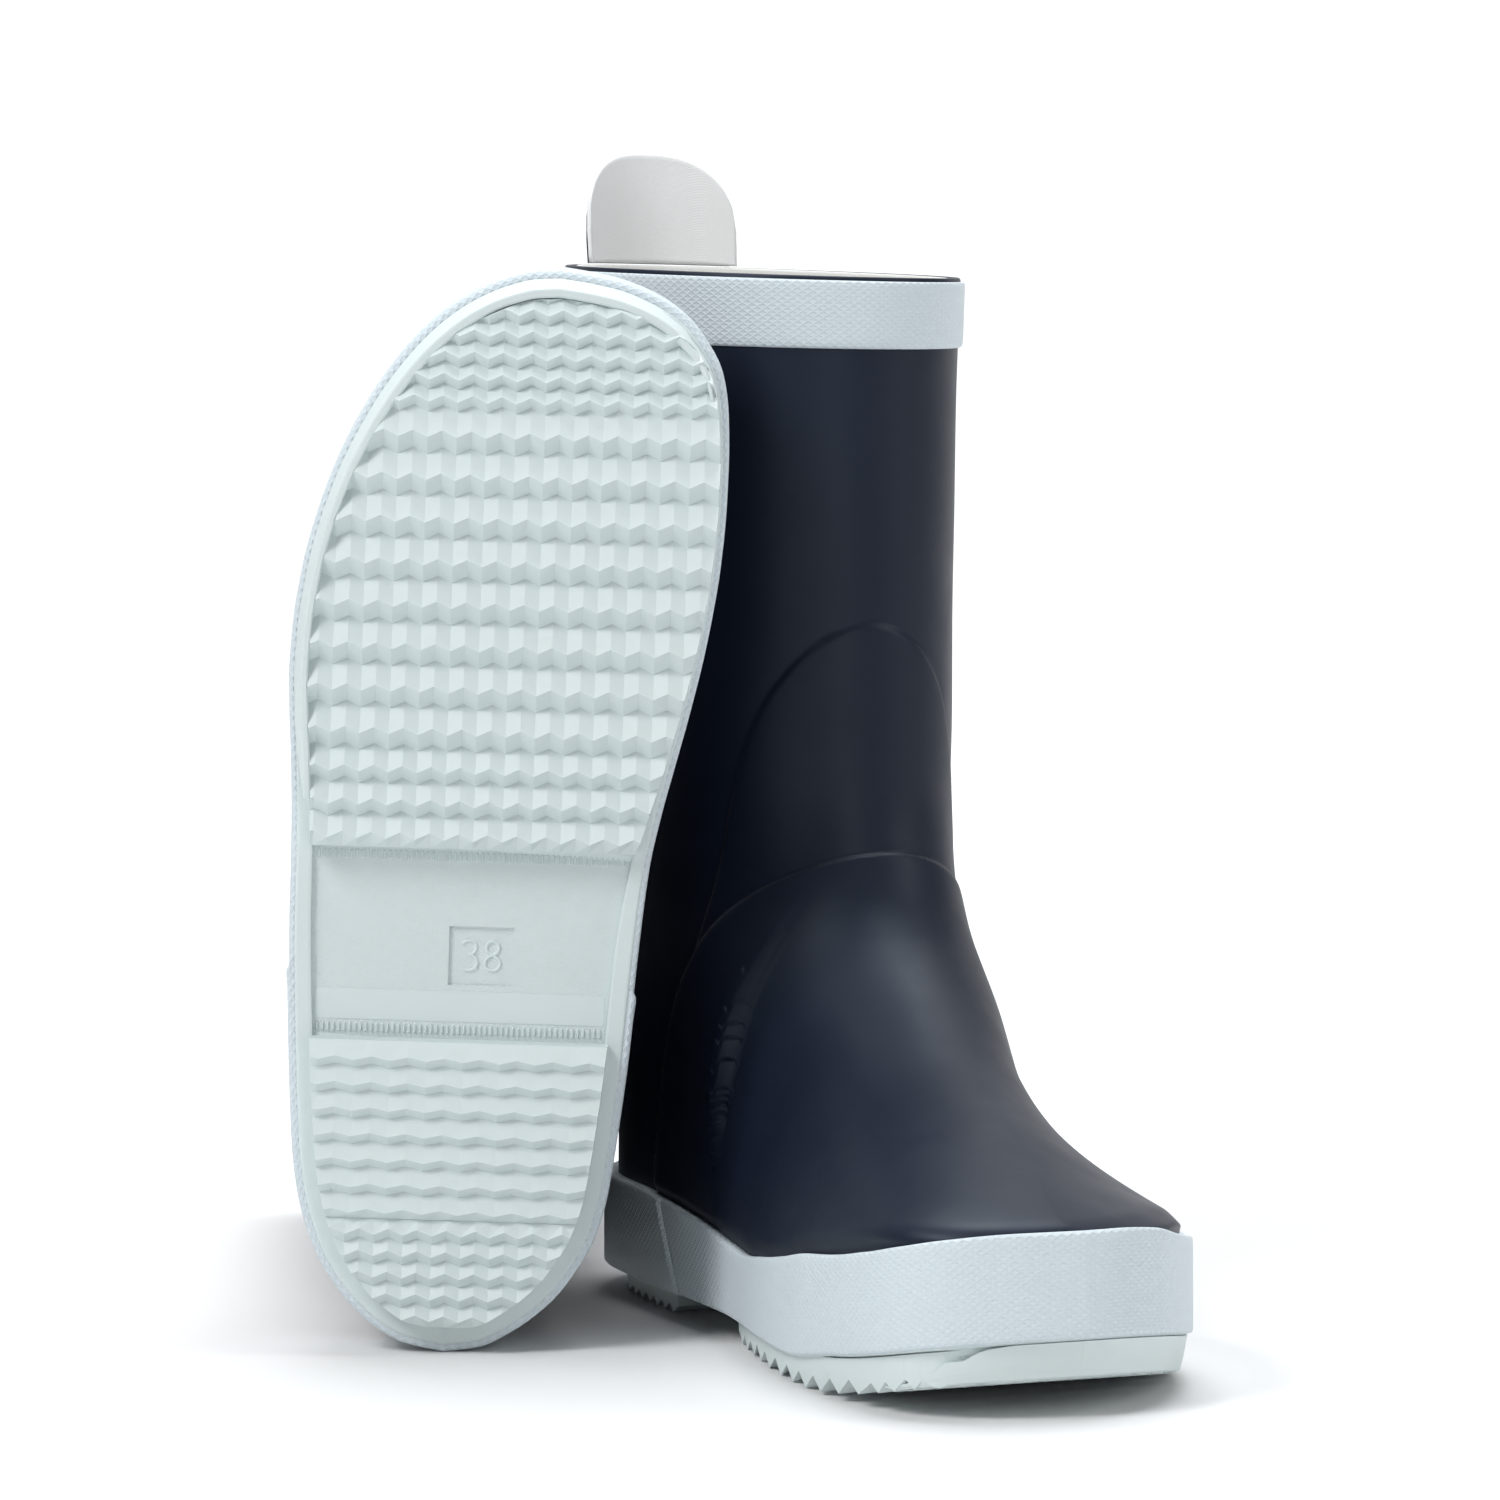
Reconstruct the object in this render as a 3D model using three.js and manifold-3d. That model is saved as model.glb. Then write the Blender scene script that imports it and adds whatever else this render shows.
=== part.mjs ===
// Pair of calf-height natural rubber deck boots, EU size 38, millimetres, +Z up.
// The left boot stands on its sole; the right boot is its mirror image and lies on
// its back in front of it, on the heel and the back of the rim, with its toe up.
// Each boot is laid out in its own frame: x from heel to toe, y towards the outer
// (lateral) side, z up from the ground, and every skin is an offset of one surface.
import * as THREE from 'three';
import { mergeVertices } from 'three/addons/utils/BufferGeometryUtils.js';
import Module from 'manifold-3d';

// ------------------------------------------------------------ driving dimensions
const FOOT_LENGTH = 270;        // over the foxing
const RIM_HEIGHT = 267;         // top of the rubber shaft
const FOXING_THICK = 2.7;
const GAP = 0.3;                // between touching pieces
const UPPER_INSET = FOXING_THICK + 2 * GAP;
const UPPER_THICK = 1.6;
const STIFFENER_THICK = 0.7;    // toe puff and heel counter, between upper and lining
const LINING_THICK = 1.0;
const OVERLAY_THICK = 0.9;      // raised vamp and shin sheets
const BAND_HEIGHT = 17.2;       // trim band under the rim
const BAND_THICK = 1.1;
const SOLE_TOP = 9.7;           // top of the outsole plate at the heel and ball
const SOLE_PLATE = 2.7;         // thickness of that plate, inside the foxing
const TREAD_DEPTH = 4.0;
const HEEL_BREAST = 79;         // front edge of the heel block
const TREAD_START = 126.5;      // rear edge of the forefoot tread
const SHANK_RAISE = 8.2;        // underside of the waist above the ground
const LAST_MARGIN = 16;         // upper turned in under the insole board
const TAB_HALF_WIDTH = 23.3;
const TAB_HEIGHT = 29;
const SHAFT_TWIST = 7;          // degrees, shaft oval turned outward against the foot
const RIM_TILT = 1.5;           // inner side of the rim higher, each way
const SEAM_X = 87;              // where the heel foxing strip meets the main band
const COLS = 24;                // facets around each skin
const FOX_COLS = 48;
// placing of the two boots
const LEFT_HEADING = 22.5, LEFT_AT = [2.3, 0], LEFT_PIVOT = 52;
const RIGHT_AT = [-76.5, -107], RIGHT_LEAN = 5, RIGHT_YAW = 1.5;
const ORIGIN = [-9.72, -9.335];          // world point under the middle of the pair's box

// outline of the foxing: x, distance to the inner side / outer side
const MEDIAL = [[0, 0], [2, 9], [5.8, 15.6], [10.7, 21.6], [16.2, 26.7], [23, 31], [30.2, 34.4], [37.3, 36.3], [43.1, 37.2], [58.9, 38.4], [78.1, 39.4], [102.4, 39.9], [124.5, 40.8], [137.7, 42.5], [150.8, 44.9], [165.4, 47.6], [179.4, 49.8], [189.9, 51], [201.3, 51.9], [212.8, 52.2], [224.1, 51.9], [239, 50.4], [248.7, 48], [256, 43.6], [261.8, 37.6], [266, 29.5], [268.6, 20.2], [269.6, 12], [270, 6.5]];
const LATERAL = [[0, 0], [1.5, 10], [5.2, 17.8], [10.3, 24.1], [17.9, 30.6], [26.9, 35.6], [36.3, 38.9], [45.5, 40.9], [58, 42.6], [70.5, 44], [91.1, 46], [106.1, 47.2], [117.5, 47.8], [131.2, 48.7], [145.3, 50], [156.7, 51.3], [170, 52.3], [177.1, 52.3], [192.3, 51.2], [203.9, 49.2], [218.6, 45.1], [232.7, 39.2], [244.7, 32.3], [255, 24.1], [262.3, 15.5], [266.9, 7], [269.2, 0], [270, -6.5]];
// side profile of the upper: level, front x; level, back x
const FRONT = [[9, 267], [39.5, 266.9], [42.3, 265.6], [44.8, 262.3], [46.7, 258.2], [49.6, 250.8], [52.8, 241.3], [56.5, 229.5], [60.5, 216], [64, 203.5], [68, 190.5], [73, 177], [80, 162.5], [90, 145.4], [100, 132.6], [110, 124.4], [122, 119.2], [135, 116.8], [150, 116], [180, 115], [210, 114.5], [240, 114], [267, 114], [300, 114]];
const BACK = [[9, 6], [12, 4.6], [20, 3.5], [32, 3.3], [60, 3.4], [90, 4], [120, 4], [150, 2], [180, -1], [210, -4], [240, -7], [267, -9.5], [300, -12.5]];
const SHAFT_HALF = [[40, 37.4], [90, 36.2], [111, 37.2], [130, 39.2], [150, 41.2], [180, 42.6], [210, 44.5], [240, 46], [267, 47.5], [300, 49]];
const SHAFT_MID = [[60, 3], [110, 2.6], [150, 1.6], [267, 0.6], [300, 0.6]];
// foxing: x, top edge height
const FOX_TOP = [[0, 31], [60, 31.2], [84, 30], [104, 28.3], [115, 27], [128, 25.3], [143, 24.7], [165, 27.3], [187, 31], [202, 34.3], [224, 38], [244, 41.4], [262, 42], [270, 42]];
const SPRING = [[0, 0], [190, 0], [205, 0.4], [222, 1.9], [240, 4.6], [255, 7.4], [268, 9.8], [272, 10.4]];
// inset of the tread block from the foxing outline: x, inner side, outer side
const TREAD_INSET = [[0, 7, 7], [20, 8.5, 5.6], [60, 9.2, 5.2], [100, 7.6, 4.9], [140, 5, 4.6], [200, 4, 4.2], [250, 3.8, 4], [270, 3.8, 3.8]];
// tread rows, front to back: [count, pitch]
const TOE_ROWS = [[6, 5.4], [8, 10.5], [3, 8.3]];
const HEEL_ROWS = [[7, 6.4], [5, 5.4]];

// ------------------------------------------------------------ numeric helpers
const clamp = (v, a, b) => Math.min(b, Math.max(a, v));
const smooth = (a, b, v) => { const t = clamp((v - a) / (b - a), 0, 1); return t * t * (3 - 2 * t); };
function curve(table, k = 1) {          // monotone cubic through table points
  const xs = table.map(p => p[0]), ys = table.map(p => p[k]), n = xs.length;
  const h = [], d = [], m = new Array(n).fill(0);
  for (let i = 0; i < n - 1; i++) { h.push(xs[i + 1] - xs[i]); d.push((ys[i + 1] - ys[i]) / h[i]); }
  m[0] = d[0]; m[n - 1] = d[n - 2];
  for (let i = 1; i < n - 1; i++) {
    if (d[i - 1] * d[i] <= 0) continue;
    const w1 = 2 * h[i] + h[i - 1], w2 = h[i] + 2 * h[i - 1];
    m[i] = (w1 + w2) / (w1 / d[i - 1] + w2 / d[i]);
  }
  return (x) => {
    const c = clamp(x, xs[0], xs[n - 1]);
    let i = 0; while (i < n - 2 && c > xs[i + 1]) i++;
    const t = (c - xs[i]) / h[i], t2 = t * t, t3 = t2 * t;
    return (2 * t3 - 3 * t2 + 1) * ys[i] + (t3 - 2 * t2 + t) * h[i] * m[i] + (3 * t2 - 2 * t3) * ys[i + 1] + (t3 - t2) * h[i] * m[i + 1];
  };
}
const frontX = curve(FRONT), backX = curve(BACK), shaftHalf = curve(SHAFT_HALF), shaftMid = curve(SHAFT_MID);
const foxTop = curve(FOX_TOP), spring = curve(SPRING);
const insetM = curve(TREAD_INSET, 1), insetL = curve(TREAD_INSET, 2);
const roofTable = FRONT.filter(p => p[0] <= 180).map(p => [p[1], p[0]]).reverse();
const roof = (() => { const f = curve(roofTable); return x => x < roofTable[0][0] ? 400 : f(x); })();

// outline side as a dense polyline, moved inwards, then y looked up by angle
function sidePolyline(table, inset) {
  const s = [0]; for (let i = 1; i < table.length; i++) s.push(s[i - 1] + Math.hypot(table[i][0] - table[i - 1][0], table[i][1] - table[i - 1][1]));
  const fx = curve(table.map((p, i) => [s[i], p[0]])), fy = curve(table.map((p, i) => [s[i], p[1]]));
  const out = [], n = 500, S = s[s.length - 1];
  for (let i = 0; i <= n; i++) {
    const u = S * i / n, e = 0.2;
    let tx = fx(u + e) - fx(u - e), ty = fy(u + e) - fy(u - e);
    if (i === 0) { tx = 0; ty = 1; } if (i === n) { tx = 0; ty = -1; }
    const l = Math.hypot(tx, ty) || 1; tx /= l; ty /= l;
    const d = typeof inset === 'function' ? inset(fx(u)) : inset;
    out.push([fx(u) + ty * d, fy(u) - tx * d]);
  }
  return out;
}
function sideLookup(table, inset) {      // returns {x0, x1, y(t)} with x = x0 + (x1-x0)(1-cos t)/2
  const p = sidePolyline(table, inset), x0 = p[0][0], x1 = p[p.length - 1][0];
  const ts = p.map(q => Math.acos(clamp(1 - 2 * (q[0] - x0) / (x1 - x0), -1, 1)));
  return { x0, x1, y: (t) => { let a = 0, b = ts.length - 1; if (t <= 0) return p[0][1]; if (t >= Math.PI) return p[b][1]; while (b - a > 1) { const m = (a + b) >> 1; if (ts[m] <= t) a = m; else b = m; } const w = (t - ts[a]) / Math.max(1e-9, ts[b] - ts[a]); return p[a][1] * (1 - w) + p[b][1] * w; } };
}
const upperM = sideLookup(MEDIAL, UPPER_INSET), upperL = sideLookup(LATERAL, UPPER_INSET);

// ------------------------------------------------------------ the upper's surface
// s runs round the boot: 0 heel, 0.25 inner side, 0.5 toe, 0.75 outer side
function skinPoint(s, level) {
  const t = 2 * Math.PI * s, sgn = s <= 0.5 ? -1 : 1;
  const xb = backX(level), xf = Math.min(frontX(level), upperM.x1);
  let x = xb + (xf - xb) * (1 - Math.cos(t)) / 2;
  const fade = Math.max(0, 1 - (x - xb) / 70) ** 2;
  const xo = clamp((x - (xb - UPPER_INSET) * fade - upperM.x0) / (upperM.x1 - upperM.x0), 0, 1);
  const to = Math.acos(1 - 2 * xo), m = upperM.y(to), l = upperL.y(to);
  const zf = foxTop(x) - 1, u = clamp((level - zf) / Math.max(0.5, roof(x) - zf), 0, 1);
  const g0 = Math.sqrt(1 - u ** 1.6), toeSide = sgn < 0 ? 0 : smooth(110, 165, x);
  const g = g0 + ((1 - u ** 0.92) ** 0.85 - g0) * toeSide;   // over the toes the outer side falls away sooner
  const yFoot = (l - m) / 2 + sgn * (l + m) / 2 * g;
  const mid = shaftMid(level), yShaft = mid + sgn * shaftHalf(level) * Math.abs(Math.sin(t));
  const k = sgn < 0 ? smooth(60, 120, level) : smooth(42, 95, level);
  let y = yFoot * (1 - k) + yShaft * k;
  const tau = clamp((level - 10.3) / 45, 0, 1);
  let z = level + spring(x) * (1 - tau) ** 2;
  const a = SHAFT_TWIST * Math.PI / 180 * smooth(60, 140, level), cx = (xb + xf) / 2;
  const dx = x - cx, dy = y - mid;
  x = cx + dx * Math.cos(a) - dy * Math.sin(a); y = mid + dx * Math.sin(a) + dy * Math.cos(a);
  z -= RIM_TILT * clamp((level - 200) / 67, 0, 1) * y / 47;
  return new THREE.Vector3(x, y, z);
}
function skin(s, level, offset = 0) {
  const w = ((s % 1) + 1) % 1, e = 2e-3;
  const q = (a, b) => skinPoint(((a % 1) + 1) % 1, b);
  const p = q(w, level);
  if (offset === 0) return p;
  const ds = q(w + e, level).sub(q(w - e, level)), dz = q(w, level + 1.5).sub(q(w, Math.max(9.5, level - 1.5)));
  return p.add(ds.cross(dz).normalize().multiplyScalar(offset));
}

// the same wall moved only sideways, at a height that follows the toe spring
function flat(s, level, offset, z) {
  const w = ((s % 1) + 1) % 1, e = 2e-3, q = (a) => skinPoint(((a % 1) + 1) % 1, level);
  const d = q(w + e).sub(q(w - e)), l = Math.hypot(d.x, d.y), p = q(w);
  const x = p.x + d.y / l * offset;
  return new THREE.Vector3(x, p.y - d.x / l * offset, z + spring(x));
}

// ------------------------------------------------------------ closed solids
const wasm = await Module(); wasm.setup();
function solid(verts, tris) {
  let vol = 0; const a = new THREE.Vector3();
  for (const [i, j, k] of tris) vol += a.copy(verts[i]).dot(new THREE.Vector3().crossVectors(verts[j], verts[k]));
  const idx = []; for (const [i, j, k] of tris) vol > 0 ? idx.push(i, j, k) : idx.push(i, k, j);
  let g = new THREE.BufferGeometry();
  g.setAttribute('position', new THREE.Float32BufferAttribute(verts.flatMap(v => [v.x, v.y, v.z]), 3));
  g.setIndex(idx);
  g = mergeVertices(g, 1e-4);
  const old = g.index.array, keep = [];
  for (let i = 0; i < old.length; i += 3) if (old[i] !== old[i + 1] && old[i + 1] !== old[i + 2] && old[i] !== old[i + 2]) keep.push(old[i], old[i + 1], old[i + 2]);
  g.setIndex(keep);
  return g;
}
// one facet pair between two loops; the diagonal runs the same way on every layer
function quad(v, t, a, b, c, d, outer) {
  const down = v[a].z + v[b].z >= v[c].z + v[d].z;
  if (down !== outer) t.push([a, b, d], [a, d, c]); else t.push([a, b, c], [b, d, c]);
}
// loops[k][i]: profile point k at column i; closed in k, closed or open in i
function sweep(loops, closed = true) {
  const K = loops.length, N = loops[0].length, v = [], t = [];
  for (const l of loops) v.push(...l);
  for (let k = 0; k < K; k++) for (let i = 0; i < (closed ? N : N - 1); i++) {
    const a = k * N + i, b = k * N + (i + 1) % N, c = ((k + 1) % K) * N + i, d = ((k + 1) % K) * N + (i + 1) % N;
    quad(v, t, a, b, c, d, closed && i >= N / 2);
  }
  if (!closed) for (let k = 1; k < K - 1; k++) { t.push([0, k * N, (k + 1) * N]); t.push([N - 1, (k + 1) * N + N - 1, k * N + N - 1]); }
  return solid(v, t);
}
// rings from one end to the other, each end closed by a strip of quads across it
function capsule(rings) {
  const N = rings[0].length, v = [], t = [], R = rings.length;
  for (const r of rings) v.push(...r);
  for (let k = 0; k < R - 1; k++) for (let i = 0; i < N; i++) {
    const a = k * N + i, b = k * N + (i + 1) % N, c = (k + 1) * N + i, d = (k + 1) * N + (i + 1) % N;
    quad(v, t, a, b, c, d, i >= N / 2);
  }
  const cap = (o, flip) => { for (let i = 0; i < N / 2; i++) { const a = o + i, b = o + i + 1, c = o + (N - i) % N, d = o + N - i - 1; flip ? t.push([a, c, d], [a, d, b]) : t.push([a, d, c], [a, b, d]); } };
  cap(0, true); cap((R - 1) * N, false);
  return solid(v, t);
}
const cols = n => Array.from({ length: n }, (_, i) => i / n);
const ring = (level, offset, n = COLS) => cols(n).map(s => skin(s, level, offset));
const flatRing = (level, offset, z, n = COLS) => cols(n).map(s => flat(s, level, offset, z));
// patch between two offsets: columns s0..s1, levels listed (numbers or functions of s)
function patch(sList, levels, outer, inner) {
  const lv = (l, s) => typeof l === 'function' ? l(s) : l;
  const loops = [];
  for (const l of levels) loops.push(sList.map(s => skin(s, lv(l, s), outer)));
  for (const l of [...levels].reverse()) loops.push(sList.map(s => skin(s, lv(l, s), inner)));
  const K = loops.length, N = sList.length, L = levels.length, v = [], t = [];
  for (const l of loops) v.push(...l);
  for (let k = 0; k < K; k++) for (let i = 0; i < N - 1; i++) {
    const a = k * N + i, b = a + 1, c = ((k + 1) % K) * N + i, d = c + 1, s = (sList[i] + sList[i + 1]) / 2;
    quad(v, t, a, b, c, d, ((s % 1) + 1) % 1 >= 0.5);
  }
  for (let j = 0; j < L - 1; j++) for (const [i, f] of [[0, true], [N - 1, false]]) {
    const a = j * N + i, b = (j + 1) * N + i, c = (K - 1 - j) * N + i, d = (K - 2 - j) * N + i;
    f ? t.push([a, b, d], [a, d, c]) : t.push([a, d, b], [a, c, d]);
  }
  return solid(v, t);
}
const toManifold = g => new wasm.Manifold(new wasm.Mesh({ numProp: 3, vertProperties: new Float32Array(g.attributes.position.array), triVerts: new Uint32Array(g.index.array) }));
function fromManifold(m) {
  const mesh = m.getMesh(), g = new THREE.BufferGeometry();
  const p = new Float32Array(mesh.numVert * 3);
  for (let i = 0; i < mesh.numVert; i++) for (let k = 0; k < 3; k++) p[i * 3 + k] = mesh.vertProperties[i * mesh.numProp + k];
  g.setAttribute('position', new THREE.BufferAttribute(p, 3)); g.setIndex(Array.from(mesh.triVerts));
  return g;
}
// prism in the side view (x, z), 160 mm wide each way
function sidePrism(points) {
  const shape = new THREE.Shape(points.map(p => new THREE.Vector2(p[0], p[1])));
  let g = new THREE.ExtrudeGeometry(shape, { depth: 320, bevelEnabled: false });
  g.rotateX(Math.PI / 2); g.translate(0, 160, 0);
  g.deleteAttribute('normal'); g.deleteAttribute('uv');
  return mergeVertices(g, 1e-4);
}

// ------------------------------------------------------------ pieces of the upper
const LEVELS = [10.3, 26, 40, 44.3, 49, 54.5, 61, 71, 84, 99, 118, 150, 200, RIM_HEIGHT];
const BOARD_LOW = 12.5, BOARD_HIGH = 14, SOCK_LOW = 14.6, BED_LOW = 16.3, BED_HIGH = 20.3;
const IN1 = -UPPER_THICK, PUFF_OUT = IN1 - GAP, PUFF_IN = PUFF_OUT - STIFFENER_THICK;
const LIN_OUT = PUFF_IN - GAP, LIN_IN = LIN_OUT - LINING_THICK;
function upperShell() {
  const loops = [];
  for (const l of LEVELS.slice(1).reverse()) loops.push(ring(l, 0));
  const floor = (off, z) => flatRing(LEVELS[0], off, z);
  loops.push(floor(0, LEVELS[0]), floor(-LAST_MARGIN, LEVELS[0]), floor(-LAST_MARGIN, LEVELS[0] + UPPER_THICK), floor(IN1, LEVELS[0] + UPPER_THICK));
  for (const l of LEVELS.slice(1)) loops.push(ring(l, IN1));
  return sweep(loops);
}
function lining() {
  const lv = [...LEVELS.slice(1, -1), RIM_HEIGHT - 0.6];
  return capsule([flatRing(SOCK_LOW, LIN_OUT, SOCK_LOW), ...lv.map(l => ring(l, LIN_OUT)),
    ...[...lv].reverse().map(l => ring(l, LIN_IN)), flatRing(SOCK_LOW, LIN_IN, SOCK_LOW + LINING_THICK)]);
}
const plate = (off, lo, hi) => capsule([flatRing(lo, off, lo), flatRing(lo, off, hi)]);
function overlay(levels, region) {
  const rings = [...levels].reverse().map(l => ring(l, GAP + OVERLAY_THICK)).concat(levels.map(l => ring(l, GAP)));
  return fromManifold(toManifold(sweep(rings)).intersect(toManifold(sidePrism(region))));
}
const VAMP_EDGE = [[70, 24], [72.5, 45], [78, 68], [86, 88], [95, 101], [106, 111], [121, 122]];
const SHIN_EDGE = [[92.5, 112], [97, 134], [104, 157], [110, 170], [115.5, 180]];
const foxLine = Array.from({ length: 22 }, (_, i) => 66 + i * 10.5).map(x => [x, foxTop(x) + 0.7]);
const vampRegion = () => [...VAMP_EDGE.slice(1), [160, 150], [300, 150], [300, 42.8], ...foxLine.reverse().filter(p => p[0] > 73)];
const shinRegion = () => [...SHIN_EDGE, [160, 215], [160, 150.6], ...VAMP_EDGE.slice(3).reverse().map(p => [p[0], p[1] + 0.6])];
const band = () => { const lo = RIM_HEIGHT - 1 - BAND_HEIGHT, hi = RIM_HEIGHT - 1; return sweep([ring(hi, GAP), ring(hi, GAP + BAND_THICK), ring((lo + hi) / 2, GAP + BAND_THICK), ring(lo + 0.6, GAP + BAND_THICK), ring(lo, GAP + 0.5), ring(lo, GAP), ring((lo + hi) / 2, GAP)]); };
function tab(outer, inner) {
  const n = 10, S = Math.asin(TAB_HALF_WIDTH / 47.5) / (2 * Math.PI);
  const sList = Array.from({ length: n + 1 }, (_, i) => -S + 2 * S * i / n);
  const h = s => 9 + (TAB_HEIGHT - 9) * Math.pow(Math.max(0, 1 - Math.abs(s / S) ** 2.6), 1 / 2.1);
  return patch(sList, [0, 0.35, 0.7, 1].map(v => (s => RIM_HEIGHT + 0.6 + v * h(s))), outer, inner);
}

// ------------------------------------------------------------ foxing and sole
// plan point on the foxing outline at angle t, moved in by d
const sideCache = new Map();
function planSide(side, d) { const k = side + ':' + d; if (!sideCache.has(k)) sideCache.set(k, sideLookup(side < 0 ? MEDIAL : LATERAL, d)); return sideCache.get(k); }
function plan(s, d, z) {
  const w = ((s % 1) + 1) % 1, t = w <= 0.5 ? 2 * Math.PI * w : 2 * Math.PI * (1 - w), side = w <= 0.5 ? -1 : 1;
  const c = planSide(side, d), x = c.x0 + (c.x1 - c.x0) * (1 - Math.cos(t)) / 2;
  return new THREE.Vector3(x, side * c.y(t), z(x));
}
const foxLow = x => 7.0 + spring(x) + 2.4 * smooth(188, 222, x);   // the sole's edge is taller round the toe
function foxing(sList, grow) {
  const lo = foxLow, hi = foxTop, t = FOXING_THICK;
  return sweep([
    sList.map(s => plan(s, 0.9 - grow, x => lo(x))), sList.map(s => plan(s, -grow, x => lo(x) + 1.1)),
    sList.map(s => plan(s, -grow, x => hi(x) - 0.8)), sList.map(s => plan(s, 0.7 - grow, x => hi(x))),
    sList.map(s => plan(s, t, x => hi(x))), sList.map(s => plan(s, t, x => lo(x)))], false);
}
const seamS = Math.acos(1 - 2 * SEAM_X / FOOT_LENGTH) / (2 * Math.PI);
function foxColumns(from, to) { const a = []; for (let i = Math.ceil(from * FOX_COLS - 1e-6); i <= Math.floor(to * FOX_COLS + 1e-6); i++) a.push(i / FOX_COLS); const e = 4e-3; return [from, ...a.filter(s => s > from + e && s < to - e), to]; }
const foxMain = () => foxing(foxColumns(seamS + 0.0012, 1 - seamS - 0.0012), 0);
const foxHeel = () => foxing(foxColumns(-seamS, seamS), 0.3);
function treadStations() {
  const st = [], push = (x, z) => st.push([x, z]);
  const rows = (x, list) => { for (const [n, p] of list) for (let i = 0; i < n; i++) { push(x, TREAD_DEPTH); push(x - p * 0.36, 0); if (x < 70 && x > 30 || x > 160 && x < 192) push(x - p * 0.36 - Math.min(2.4, p * 0.3), 0); x -= p; } push(x, TREAD_DEPTH); return x; };
  let x = rows(266.4, TOE_ROWS);
  push(x - 1.2, SHANK_RAISE); push(HEEL_BREAST + 1.5, SHANK_RAISE);
  x = rows(HEEL_BREAST, HEEL_ROWS);
  return st.reverse();
}
function treadBlock() {
  const M = sideLookup(MEDIAL, insetM), L = sideLookup(LATERAL, insetL);
  const at = (c, x) => c.y(Math.acos(clamp(1 - 2 * (x - c.x0) / (c.x1 - c.x0), -1, 1)));
  const st = treadStations().filter(p => p[0] > 7.4 && p[0] < 266.1), v = [], t = [];
  st.unshift([7.3, TREAD_DEPTH]); st.push([266.2, TREAD_DEPTH]);
  for (const [x, z] of st) {
    const m = -at(M, x), l = at(L, x), a = Math.min(m, l - 0.4), e = 0.25 * (TREAD_DEPTH + 4 - z), base = spring(x) * 0.97;
    const top = SOLE_TOP - SOLE_PLATE + 1.4 + spring(x);
    v.push(new THREE.Vector3(x, a + 1 - e * 0.3, z + base), new THREE.Vector3(x, l - 1 + e * 0.3, z + base), new THREE.Vector3(x, l, top), new THREE.Vector3(x, a, top));
  }
  for (let i = 0; i < st.length - 1; i++) for (let k = 0; k < 4; k++) { const a = i * 4 + k, b = i * 4 + (k + 1) % 4, c = a + 4, d = b + 4; t.push([a, b, d], [a, d, c]); }
  const n = (st.length - 1) * 4; t.push([0, 2, 1], [0, 3, 2], [n, n + 1, n + 2], [n, n + 2, n + 3]);
  return solid(v, t);
}
function outsole() {
  const r = z => cols(COLS).map(s => plan(s, UPPER_INSET, x => z + spring(x)));
  const flange = capsule([r(SOLE_TOP - SOLE_PLATE), r(SOLE_TOP)]);
  return fromManifold(toManifold(flange).add(toManifold(treadBlock())));
}

// ------------------------------------------------------------ materials
const NAVY = () => new THREE.MeshStandardMaterial({ color: 0x1f2635, roughness: 0.42, metalness: 0 });
const PALE = () => new THREE.MeshStandardMaterial({ color: 0xcbdbe0, roughness: 0.55, metalness: 0 });
const MINT = () => new THREE.MeshStandardMaterial({ color: 0xcfdedf, roughness: 0.6, metalness: 0 });
const CLOTH = () => new THREE.MeshStandardMaterial({ color: 0xdcdcda, roughness: 0.9, metalness: 0 });
const FOAM = () => new THREE.MeshStandardMaterial({ color: 0xc3c8ca, roughness: 0.9, metalness: 0 });
const BOARD = () => new THREE.MeshStandardMaterial({ color: 0xb59f7c, roughness: 0.95, metalness: 0 });
const STIFF = () => new THREE.MeshStandardMaterial({ color: 0x34383d, roughness: 0.8, metalness: 0 });

// ------------------------------------------------------------ one boot
const colRange = (a, b) => { const o = []; for (let i = a; i <= b; i++) o.push(i / COLS); return o; };
function pieces() {
  return {
    outsole: [outsole(), MINT], foxing_band: [foxMain(), PALE], heel_foxing_strip: [foxHeel(), PALE],
    upper_shell: [upperShell(), NAVY],
    vamp_overlay: [overlay(LEVELS.slice(1, 12), vampRegion()), NAVY],
    shin_overlay: [overlay(LEVELS.slice(8, 13), shinRegion()), NAVY],
    top_band: [band(), PALE], lining: [lining(), CLOTH],
    pull_tab: [tab(0, -1.5), NAVY], pull_tab_facing: [tab(-1.8, -2.7), CLOTH],
    toe_puff: [patch(colRange(8, 16), LEVELS.slice(1, 6), PUFF_OUT, PUFF_IN), STIFF],
    heel_counter: [patch(colRange(-4, 4), LEVELS.slice(1, 7), PUFF_OUT, PUFF_IN), STIFF],
    sole_filler: [plate(-LAST_MARGIN - 1, LEVELS[0], LEVELS[0] + UPPER_THICK), FOAM],
    insole_board: [plate(IN1 - 1.2, BOARD_LOW, BOARD_HIGH), BOARD],
    footbed: [plate(LIN_IN - 1.4, BED_LOW, BED_HIGH), FOAM],
  };
}
function mirrored(g) {
  const m = g.clone(); m.scale(1, -1, 1);
  const a = Array.from(m.index.array); for (let i = 0; i < a.length; i += 3) [a[i + 1], a[i + 2]] = [a[i + 2], a[i + 1]];
  m.setIndex(a); return m;
}
const shapes = pieces();
function boot(prefix, mirror) {
  const g = new THREE.Group();
  for (const [name, [geo, mat]] of Object.entries(shapes)) {
    const mesh = new THREE.Mesh(mirror ? mirrored(geo) : geo, mat());
    mesh.geometry.computeVertexNormals(); mesh.name = prefix + name; g.add(mesh);
  }
  return g;
}

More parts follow.
